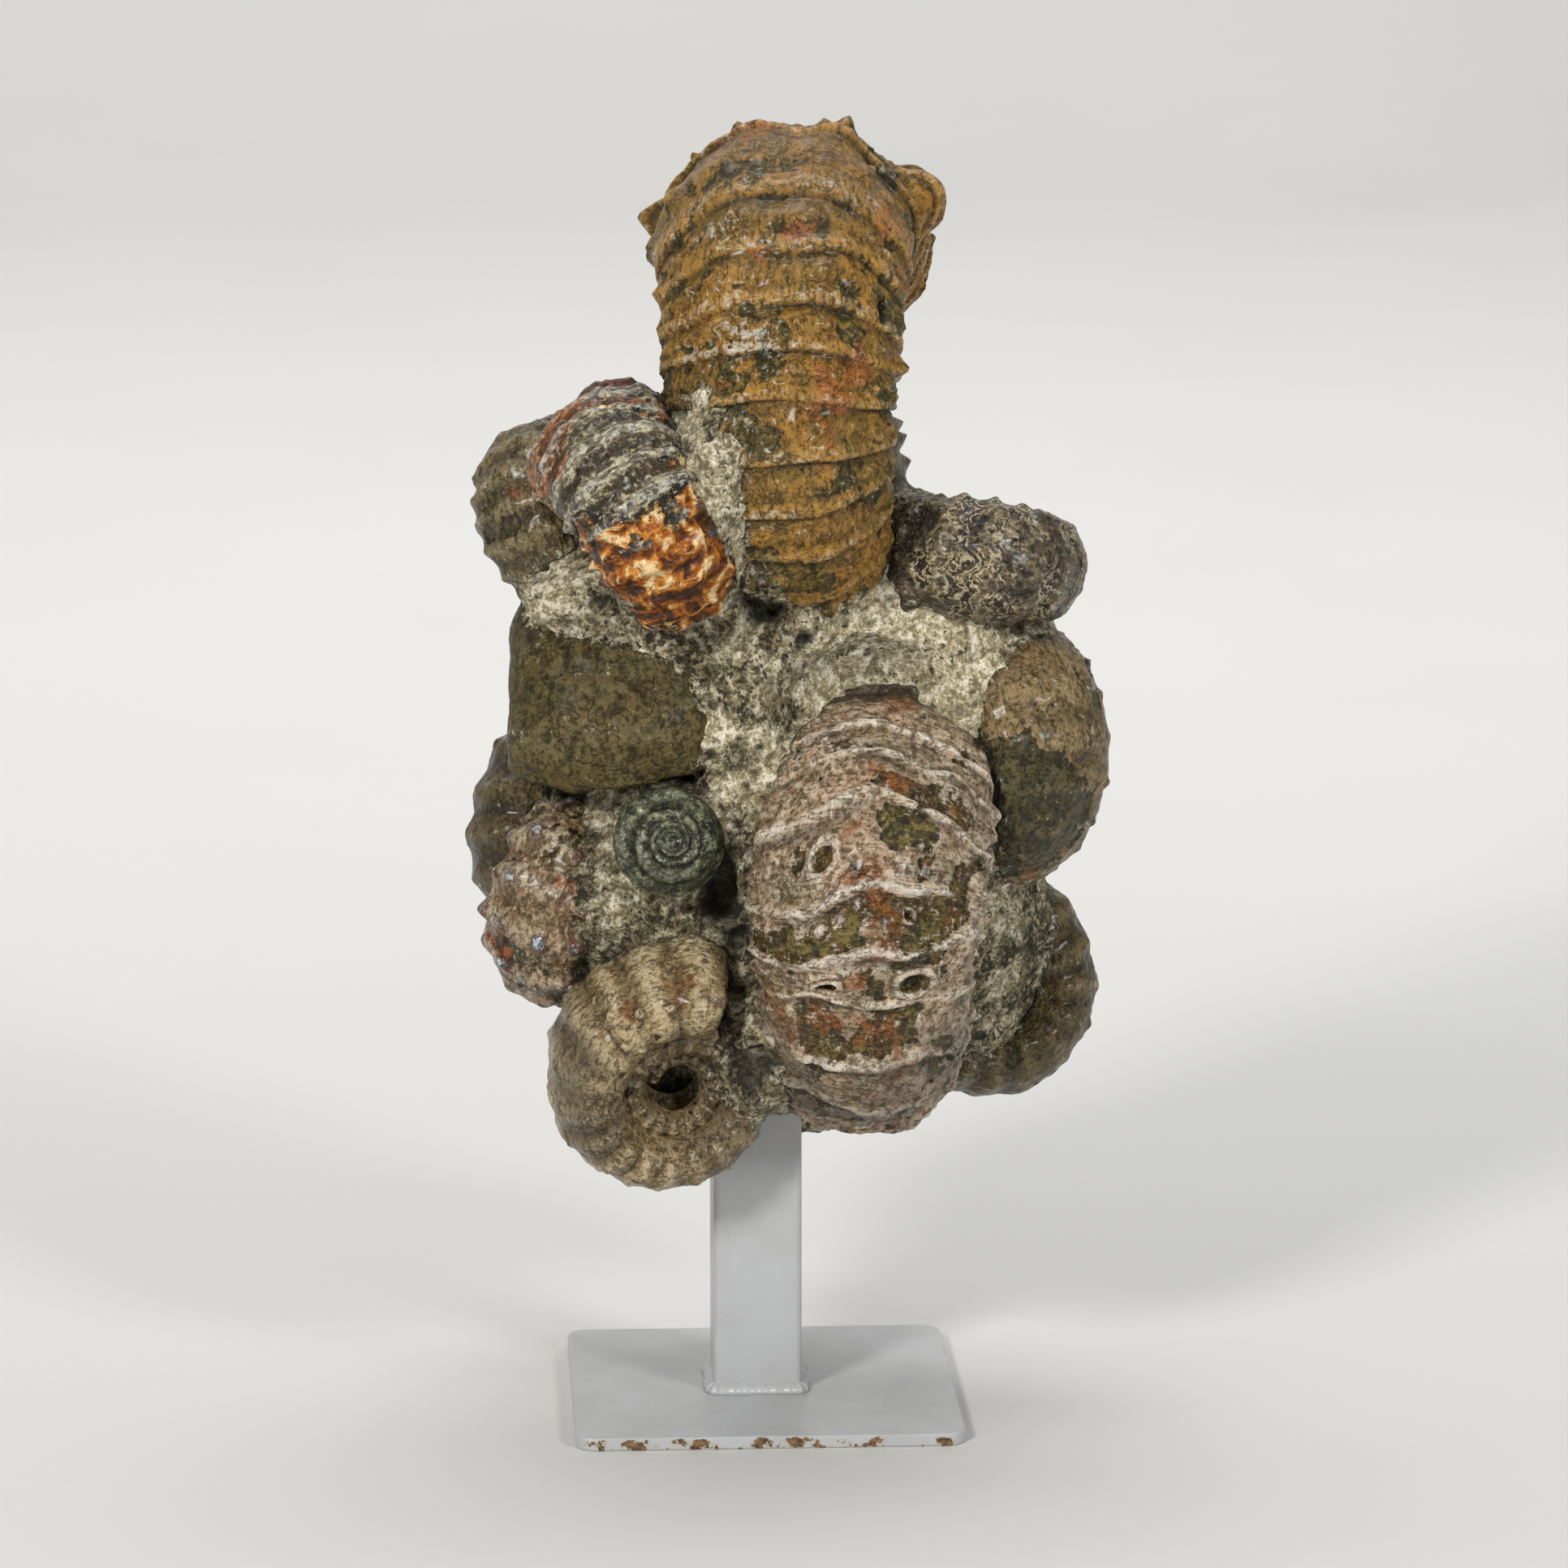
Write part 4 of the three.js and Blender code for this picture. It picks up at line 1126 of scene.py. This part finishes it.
nucleus_grid, nucleus_groove, nucleus_swell = coiled_dome(
    dark_nucleus_coil, NUCLEUS_RADIUS, NUCLEUS_DEPTH, NUCLEUS_GROWTH, NUCLEUS_RINGS, NUCLEUS_COLUMNS
)
nucleus_masks = {mask: 0 * nucleus_groove for mask in ("along", "across", *SKIN_MASKS[:-2])}
nucleus_masks.update(ridge=nucleus_swell, groove=nucleus_groove, shed=0 * nucleus_groove - 0.2)
dark_nucleus = closed_mesh("dark_nucleus", nucleus_grid, nucleus_masks)
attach(dark_nucleus, "root")
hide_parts("ammonite_dark_nucleus")
shells.append((dark_nucleus, dark_nucleus_coil))
fossil_skin(
    dark_nucleus, "16180e 444830 868868 384026 2f362b 3c4236 4a3a1c 8c8d76",
    film_share=0.0, rust_share=0.0, rub=0.6, flecks=0.2, glint=0.2,
)

# ---- the grey spiny shell behind the top one ----
# An ammonite of which only two spines and a strip of flank are seen from the front.

behind_top = ammonite(
    "behind_top", Coil((21, 43, 202), (1, 0.1, 0.1), (0, 0.8, -0.6), 1, 28, 22, 31, 1.6, 1.6),
    14, round_ribs, 0.9,
    [(24, 1.2, 1.7, 1.7), (80, 3.4, 2.4, 2.4, 0.5, 1.6)],
    (7, 0.8, 0.4), 1301, fine=0.7, warp=0.7,
)
fossil_skin(
    behind_top, "3a3020 5a503c 7a705c 504838 645a48 847a68 6a4028 958b78",
    rust_share=0.25, rub=0.7, flecks=0.1,
)

# ---- the red-brown shell behind the amber one ----
# An ammonite stained by iron, which stands out as a low arched edge.

red_edge = ammonite(
    "red_edge", Coil((-31, 32, 212), (0.91, 0.41, 0), (-0.3, 0.8, -0.5), 1, 22, 17, 24, 1.6, 1.6),
    16, round_ribs, 0.8,
    [(20, 0.9, 1.5, 1.5), (80, 1.2, 1.6, 1.6)],
    (7, 0.8, 0.4), 1409, fine=0.7, warp=0.6,
)
fossil_skin(
    red_edge, "2a1406 4a260a 6c3e16 402a10 502e12 6a4420 6e2c0a 7c5428",
    rust_share=0.6, rub=0.5, flecks=0.1,
)

# ---- the shells on the back ----
# Two more ammonites of the same kinds fill the side that stands to the wall.

back_middle = ammonite(
    "back_middle", Coil((14, 40, 152), (-0.97, 0.1, 0.24), (0.22, -0.22, 0.95), -1, 42, 33, 46, 1.8, 1.8),
    17, stepped_band, 1.4,
    [(0, 0.7, 1.6, 0.8, 0.42, 0), (26, 1.3, 1.8, 1.4), (52, 1.2, 1.9, 1.6),
     (82, 2.8, 2.6, 2.5, 0.6, 1.6)],
    (9, 0.7, 0.5), 1511, fine=0.8, warp=0.9, crowded=1.2,
)
back_low = ammonite(
    "back_low", Coil((-16, 46, 92), (0.27, 0.91, -0.32), (-0.89, 0.36, 0.27), -1, 33, 25, 36, 1.8, 1.8),
    14, round_ribs, 1.1,
    [(28, 1.0, 1.7, 1.7), (64, 1.1, 1.7, 1.7), (100, 1.1, 1.7, 1.7)],
    (8, 0.6, 0.45), 1601, fine=0.75, fine_turns=1.2, warp=0.8,
)
fossil_skin(
    back_middle, "2c220e 4e3e1e 70603a 464020 604e2e 7c6a46 6e3c16 93805a",
    rust_share=0.35, rub=0.7, flecks=0.2,
)
fossil_skin(
    back_low, "2e240f 5c4a28 826c46 4c4626 74603c 98845e 6a3f18 ab9874",
    rust_share=0.3, rub=0.8, flecks=0.25,
)

# ---- the sandstone that holds the shells ----
# A lump of pale, gritty sandstone, broken and picked away by hand until the shells stood out of
# it. It fills the gaps between them, and the post goes up into a hole drilled in its foot.

# The swellings that run together into the block, and the scoop taken out of it under the top
# shell: a centre and three radii each.
SWELLINGS = [
    ((2, 13, 122), (50, 43, 64)), ((-8, 15, 186), (41, 42, 36)), ((36, 10, 164), (32, 30, 32)),
    ((38, 10, 112), (27, 27, 40)), ((-12, -27, 216), (8.5, 18.5, 23)), ((-42, -8, 187), (12, 15, 7)),
    ((-4, -20, 150), (4, 8, 26)), ((-33, -12, 119), (12, 16, 14)), ((-2, -27, 87), (8, 14, 15)),
    ((25, 50, 186.5), (17, 19, 13.5)), ((-33, 38, 200), (12, 12, 11)),
]
SCOOP = ((25, -40, 171), (24.5, 27.5, 14.5))
SWELLINGS_REACH, SHELLS_REACH = 14.0, 6.0
FIELD_STEP = 2.0
FIELD_LOW = np.array([-66.0, -66.0, 50.0])
FIELD_HIGH = np.array([92.0, 90.0, 298.0])


def swelling_depth(points, centre, radii):
    """How far points lie outside an ellipsoid, less than nothing inside: the scaled distance
    from its centre, less one, divided by how fast that grows."""
    apart = points - np.array(centre, np.float32)
    scaled = np.linalg.norm(apart / np.array(radii, np.float32), axis=-1)
    slope = np.linalg.norm(apart / np.array(radii, np.float32) ** 2, axis=-1) + 1e-6
    return scaled * (scaled - 1) / slope


def coil_depth(points, coil):
    """How far points lie outside a coil's tube, less than nothing inside. The angle round the
    axis gives the two turns that pass there, and each is an ellipse in that half plane."""
    local = (points - np.array(coil.centre, np.float32)) @ coil_frame(coil).T.astype(np.float32)
    reach = np.hypot(local[..., 0], local[..., 1])
    turn = np.arctan2(local[..., 1], local[..., 0]) / (2 * np.pi)
    first = (-coil.way * turn) % 1.0
    nearest = np.full(reach.shape, 1e3, np.float32)
    for extra in (0, 1):
        back = first + extra
        _, half_height, half_breadth, middle = tube(coil, back)
        out = reach - middle
        scaled = np.hypot(out / half_height, local[..., 2] / half_breadth)
        slope = np.hypot(out / half_height**2, local[..., 2] / half_breadth**2) + 1e-6
        nearest = np.minimum(nearest, scaled * (scaled - 1) / slope)
    return nearest


def run_together(one, other, reach):
    """Joins two depths so that their surfaces meet in a soft hollow as wide as reach."""
    close = np.clip(1 - np.abs(one - other) / reach, 0, 1)
    return np.minimum(one, other) - close * close * reach / 4


def sandstone_skin(piece):
    """Pale sandstone: grey-olive and sandy clouds, whiter lime patches, and dark mineral grains
    of half a millimetre that crowd together where there is little lime. Pits and places that
    are shut in are painted darker, as shade."""
    where = new_material(piece, "sandstone")
    lime, hollow, pits = (read_mask(where, mask) for mask in ("lime", "hollow", "pits"))
    wide = noise(where, 100, 4, 0.6, 0.4)
    mid = noise(where, 280, 4, 0.65, 0.6)
    fine = noise(where, 760, 3, 0.65)
    grit = noise(where, 1600, 1, 0.5)
    blend = mid * 0.4 + fine * 0.4 + grit * 0.2
    limy = lime + between(wide, 0.35, 0.65, -0.3, 0.3) + between(mid, 0.35, 0.65, -0.2, 0.2)
    lit = between(limy, 0.1, 0.9)
    shady = mixed(lit, tint("3c3624"), tint("7a7056"))
    plain = mixed(lit, tint("665d42"), tint("b2a682"))
    bright = mixed(lit, tint("9a8f70"), tint("eae2cc"))
    colour = mixed(between(blend, 0.42, 0.5), shady, plain)
    colour = mixed(between(blend, 0.5, 0.57), colour, bright)
    earthy = between(noise(where, 170, 3, 0.6), 0.56, 0.68, 0, 0.5)
    colour = mixed(earthy, colour, tint("6b5230"))
    grains = noise(where, 640, 3, 0.7) + between(lime, -0.1, 0.8, 0.9, 0.1) * 0.12
    grains = grains + between(wide, 0.6, 0.4, -0.07, 0.05) - lit * 0.05
    grains = between(grains, 0.6, 0.66)
    colour = mixed(grains * 0.85, colour, tint("1c1a12"))
    # Painted shade in the pits and cavities, and where the stone is shut in.
    colour = mixed(pits * 0.8, colour, tint("1f1c12"))
    shut = hollow * between(lime, 0.2, 1.0, 0.62, 0.3)
    colour = mixed(shut, colour, tint("17140d"))
    height = mid * 0.9 + fine * 0.6 + grit * 0.2 - grains * 0.4
    finish_material(colour, 0.92, height, 0.0011)


counts = np.round((FIELD_HIGH - FIELD_LOW) / FIELD_STEP).astype(int) + 1
lines = [FIELD_LOW[i] + FIELD_STEP * np.arange(counts[i]) for i in range(3)]
lattice = np.stack(np.meshgrid(*lines, indexing="ij"), -1).astype(np.float32)
block = np.full(lattice.shape[:3], 1e3, np.float32)
for swelling in SWELLINGS:
    block = run_together(block, swelling_depth(lattice, *swelling), SWELLINGS_REACH)
# Under the shells the stone stays a little inside their surface, and more so away from the block.
stone_field = block.copy()
solid_field = block.copy()
inset = 2.2 + 0.5 * np.maximum(block - 3, 0)
for _, coil in shells:
    depth = coil_depth(lattice, coil)
    solid_field = np.minimum(solid_field, depth)
    stone_field = run_together(stone_field, depth + inset, SHELLS_REACH)
stone_field = np.maximum(stone_field, -swelling_depth(lattice, *SCOOP))


def cells(points, size, seed):
    """Distance, in sizes, from each point to the nearest of the random seeds that lie one in
    each cube of a lattice, and that seed's own random number."""
    scaled = points / size
    base = np.floor(scaled).astype(np.int64)
    nearest = np.full(points.shape[:-1], 9.0, np.float32)
    own = np.zeros(points.shape[:-1], np.float32)
    for step in np.ndindex(3, 3, 3):
        cube = [base[..., i] + step[i] - 1 for i in range(3)]
        spot = np.stack([cube[i] + 0.5 + 0.45 * chance(*cube, seed + i) for i in range(3)], -1)
        reach = np.linalg.norm(scaled - spot, axis=-1)
        closer = reach < nearest
        nearest = np.where(closer, reach, nearest)
        own = np.where(closer, chance(*cube, seed + 9), own)
    return nearest, own


def read_field(field, points):
    """A field's value at any points, blended from the eight lattice values round each."""
    scaled = (points - FIELD_LOW) / FIELD_STEP
    scaled = np.clip(scaled, 0, np.array(field.shape) - 1.001)
    base = np.floor(scaled).astype(int)
    return blended(base, scaled - base, lambda *spot: field[spot])


AXIS_FOOT = np.array([4.0, 10.0, 100.0])
AXIS_HEAD = np.array([0.0, 10.0, 190.0])
AXIS_WIDTH = 42.0
STONE_ROWS = 300
STONE_COLUMNS = 320
RAY_OUTER, RAY_INNER, RAY_STEP = 88, 6.0, 1.5


def stone_rays(rows, columns):
    """Rays out of the block's upright axis: down from its foot, level along it, and up from its
    head, in even steps of the way round such a long pill. Returns starts and directions."""
    length = np.linalg.norm(AXIS_HEAD - AXIS_FOOT)
    quarter = AXIS_WIDTH * np.pi / 2
    way = (np.arange(rows) + 0.5) / rows * (length + 2 * quarter)
    tilt = np.clip(way / quarter - 1, -1, 0) + np.clip((way - quarter - length) / quarter, 0, 1)
    share = np.clip((way - quarter) / length, 0, 1)
    start = AXIS_FOOT + (AXIS_HEAD - AXIS_FOOT) * share[:, None]
    tilt, turn = np.broadcast_arrays(
        tilt[:, None] * np.pi / 2, np.linspace(0, 2 * np.pi, columns, endpoint=False)
    )
    direction = np.stack([np.cos(tilt) * np.cos(turn), np.cos(tilt) * np.sin(turn), np.sin(tilt)], -1)
    return start[:, None, :], direction


# Cavities in the front, painted dark inside as shade: their place across and up, width, height and depth.
CAVITIES = [
    (-1, 191, 5.5, 7, 6), (8, 178.5, 2.8, 2, 4), (-11.3, 124, 4, 8.5, 6),
    (-18.9, 148.2, 3.8, 2.4, 4), (52.7, 128.2, 2.4, 5, 4), (-5, 86, 6, 9, 4),
    (-13.6, 98.5, 4, 4, 3), (-28.7, 148.3, 4, 2.5, 3), (-8, 113, 3, 3, 3),
]
# Where more or less lime than usual has whitened the stone: place, width and amount.
LIME_PATCHES = [
    (38, -18, 176, 24, 0.6), (24, -18, 176, 14, 0.6), (-14, -28, 205, 18, 0.35),
    (-12, -26, 118, 12, -0.1), (-8, -30, 92, 12, -0.1), (25, -20, 170, 14, 0.7),
    (-6, -30, 160, 16, 0.35), (60, -14, 155, 14, 0.4), (-10, -34, 218, 14, 0.5),
    (-4, -34, 198, 8, 0.3), (-47, -20, 188, 10, 0.6), (2, -30, 138, 10, 0.25),
]
ray_start, ray_way = stone_rays(STONE_ROWS, STONE_COLUMNS)
surface_at = np.full(ray_way.shape[:2], RAY_INNER)
found = np.zeros(ray_way.shape[:2], bool)
outside = np.full(ray_way.shape[:2], 9.0)
for step in np.arange(RAY_OUTER, RAY_INNER, -RAY_STEP):
    value = read_field(stone_field, ray_start + ray_way * step)
    hit = (value < 0) & ~found
    share = outside / np.maximum(outside - value, 1e-6)
    surface_at = np.where(hit, step + RAY_STEP * (1 - share), surface_at)
    found |= hit
    outside = value
stone_grid = ray_start + ray_way * surface_at[..., None]
grit_size = lumps(stone_grid, 8, 71, 4, 0.65) * 1.7 + lumps(stone_grid, 1.9, 75, 3, 0.6) * 0.5
pit_reach, pit_kind = cells(stone_grid, 3.1, 81)
pits = np.where(pit_kind > 0.2, eased(0.42 - pit_reach, 0, 0.2), 0) * 0.9
ragged = lumps(stone_grid, 5, 87, 3, 0.6) * 0.45
cavity = np.zeros(pits.shape)
for x, z, wide, tall, deep in CAVITIES:
    apart = np.hypot((stone_grid[..., 0] - x) / wide, (stone_grid[..., 2] - z) / tall) + ragged
    hole = eased(-apart, -1.15, -0.5) * (stone_grid[..., 1] < 0)
    cavity = np.maximum(cavity, hole * deep)
stone_grid = stone_grid + ray_way * (grit_size - pits - cavity)[..., None]
lime = lumps(stone_grid, 16, 91, 3, 0.5) * 0.35 + 0.35 + patches(stone_grid, LIME_PATCHES)


def enclosure(points, normals, reach):
    """How shut in a place is, from 0 to 1: the solid field is read some way out along the
    normal, where it is less than that way if other solids stand near."""
    shut = 0.0
    for way in (reach * 0.5, reach, reach * 2):
        shut = shut + np.clip(1 - read_field(solid_field, points + normals * way) / way, 0, 1)
    return np.clip(shut / 3, 0, 1.0)


LOOK_OUT = 5.0
SHUT_IN = (0.45, 0.95)
# The hollow and pits masks of the stone carry painted shade.
stone_hollow = eased(enclosure(stone_grid, surface_normals(stone_grid), LOOK_OUT), *SHUT_IN)
stone_pits = np.maximum(pits, eased(cavity, 0.5, 3.5))
stone = closed_mesh(
    "sandstone", stone_grid, {"lime": lime, "hollow": stone_hollow, "pits": stone_pits}
)
sandstone_skin(stone)
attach(stone, "root")
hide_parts("sandstone_matrix")

# Each shell now learns how near the stone it lies, for stone dust, and how shut in it is, for painted
# shade.
for piece, _ in shells:
    flat = np.empty(len(piece.data.vertices) * 3, np.float32)
    piece.data.vertices.foreach_get("co", flat)
    spots = flat.reshape(-1, 3).astype(float) / MM
    piece.data.vertex_normals.foreach_get("vector", flat)
    out = flat.reshape(-1, 3).astype(float)
    depth = -read_field(stone_field, spots + out * 0.6)
    paint_mask(piece.data, "buried", eased(depth, -3.2, 0.6))
    paint_mask(piece.data, "hollow", eased(enclosure(spots, out, LOOK_OUT), *SHUT_IN))

# ---- floor, light and camera ----
# A plain pale floor that sweeps up behind, four soft lights, and a long lens.


def sweep(name, half_width, front, back_edge, tall, corner):
    """A sheet that lies flat and then curves up: a flat run, a quarter circle and a wall."""
    turn = np.linspace(0, np.pi / 2, 24)
    run = np.linspace(front, back_edge, 12)[:-1]
    y = np.concatenate([run, back_edge + corner * np.sin(turn), [back_edge + corner]])
    z = np.concatenate([0 * run, corner * (1 - np.cos(turn)), [tall]])
    x = np.linspace(-half_width, half_width, 9)
    points = np.stack(np.broadcast_arrays(x, y[:, None], z[:, None]), -1).reshape(-1, 3)
    here = np.arange(len(points)).reshape(len(y), len(x))
    quads = np.stack([here[:-1, :-1], here[:-1, 1:], here[1:, 1:], here[1:, :-1]], -1)
    return new_piece(name, points / MM, quads.reshape(-1, 4))


floor = sweep("floor", 6.0, -4.0, 2.2, 4.0, 1.2)
where = new_material(floor, "pale_floor")
colour = mixed(noise(where, 6, 3, 0.5), tint("d4d3d0"), tint("dad9d6"))
finish_material(colour, 0.7, noise(where, 300, 2, 0.5), 0.0001)

world = bpy.data.worlds.new("studio")
bpy.context.scene.world = world
world.use_nodes = True
sky = world.node_tree.nodes["Background"].inputs
sky["Color"].default_value = (0.95, 0.97, 1.0, 1.0)
sky["Strength"].default_value = 0.2


def soft_light(name, place, aim, width, watts, colour):
    """A square soft box that faces the point it aims at."""
    light = bpy.data.lights.new(name, "AREA")
    light.shape = "SQUARE"
    light.size = width
    light.energy = watts
    light.color = colour
    lamp = placed(name, light)
    lamp.location = place
    lamp.rotation_euler = (Vector(aim) - Vector(place)).to_track_quat("-Z", "Y").to_euler()


soft_light("key", (-0.85, -1.3, 1.0), (0, 0, 0.17), 0.3, 19, (1.0, 0.985, 0.96))
soft_light("side", (0.95, -1.15, 0.8), (0, 0, 0.15), 0.3, 9.5, (0.98, 0.99, 1.0))
soft_light("top", (0.1, 0.25, 1.4), (0, 0, 0.16), 0.6, 2, (1.0, 1.0, 1.0))
soft_light("wall", (0, 0.9, 2.2), (0, 3.2, 0.4), 2.0, 60, (1.0, 1.0, 1.0))

camera_data = bpy.data.cameras.new("camera")
camera_data.lens = 161
camera_data.sensor_width = 36
camera_data.clip_end = 50
camera = placed("camera", camera_data)
aim = Vector((0.0064, 0.0275, 0.1361))
azimuth, elevation, distance = np.deg2rad(-3.0), np.deg2rad(11.8), 1.6
level = np.cos(elevation)
look = Vector((-np.sin(azimuth) * level, np.cos(azimuth) * level, -np.sin(elevation)))
camera.location = aim - look * distance
camera.rotation_euler = look.to_track_quat("-Z", "Y").to_euler()
bpy.context.scene.camera = camera
bpy.context.scene.view_settings.view_transform = "Standard"
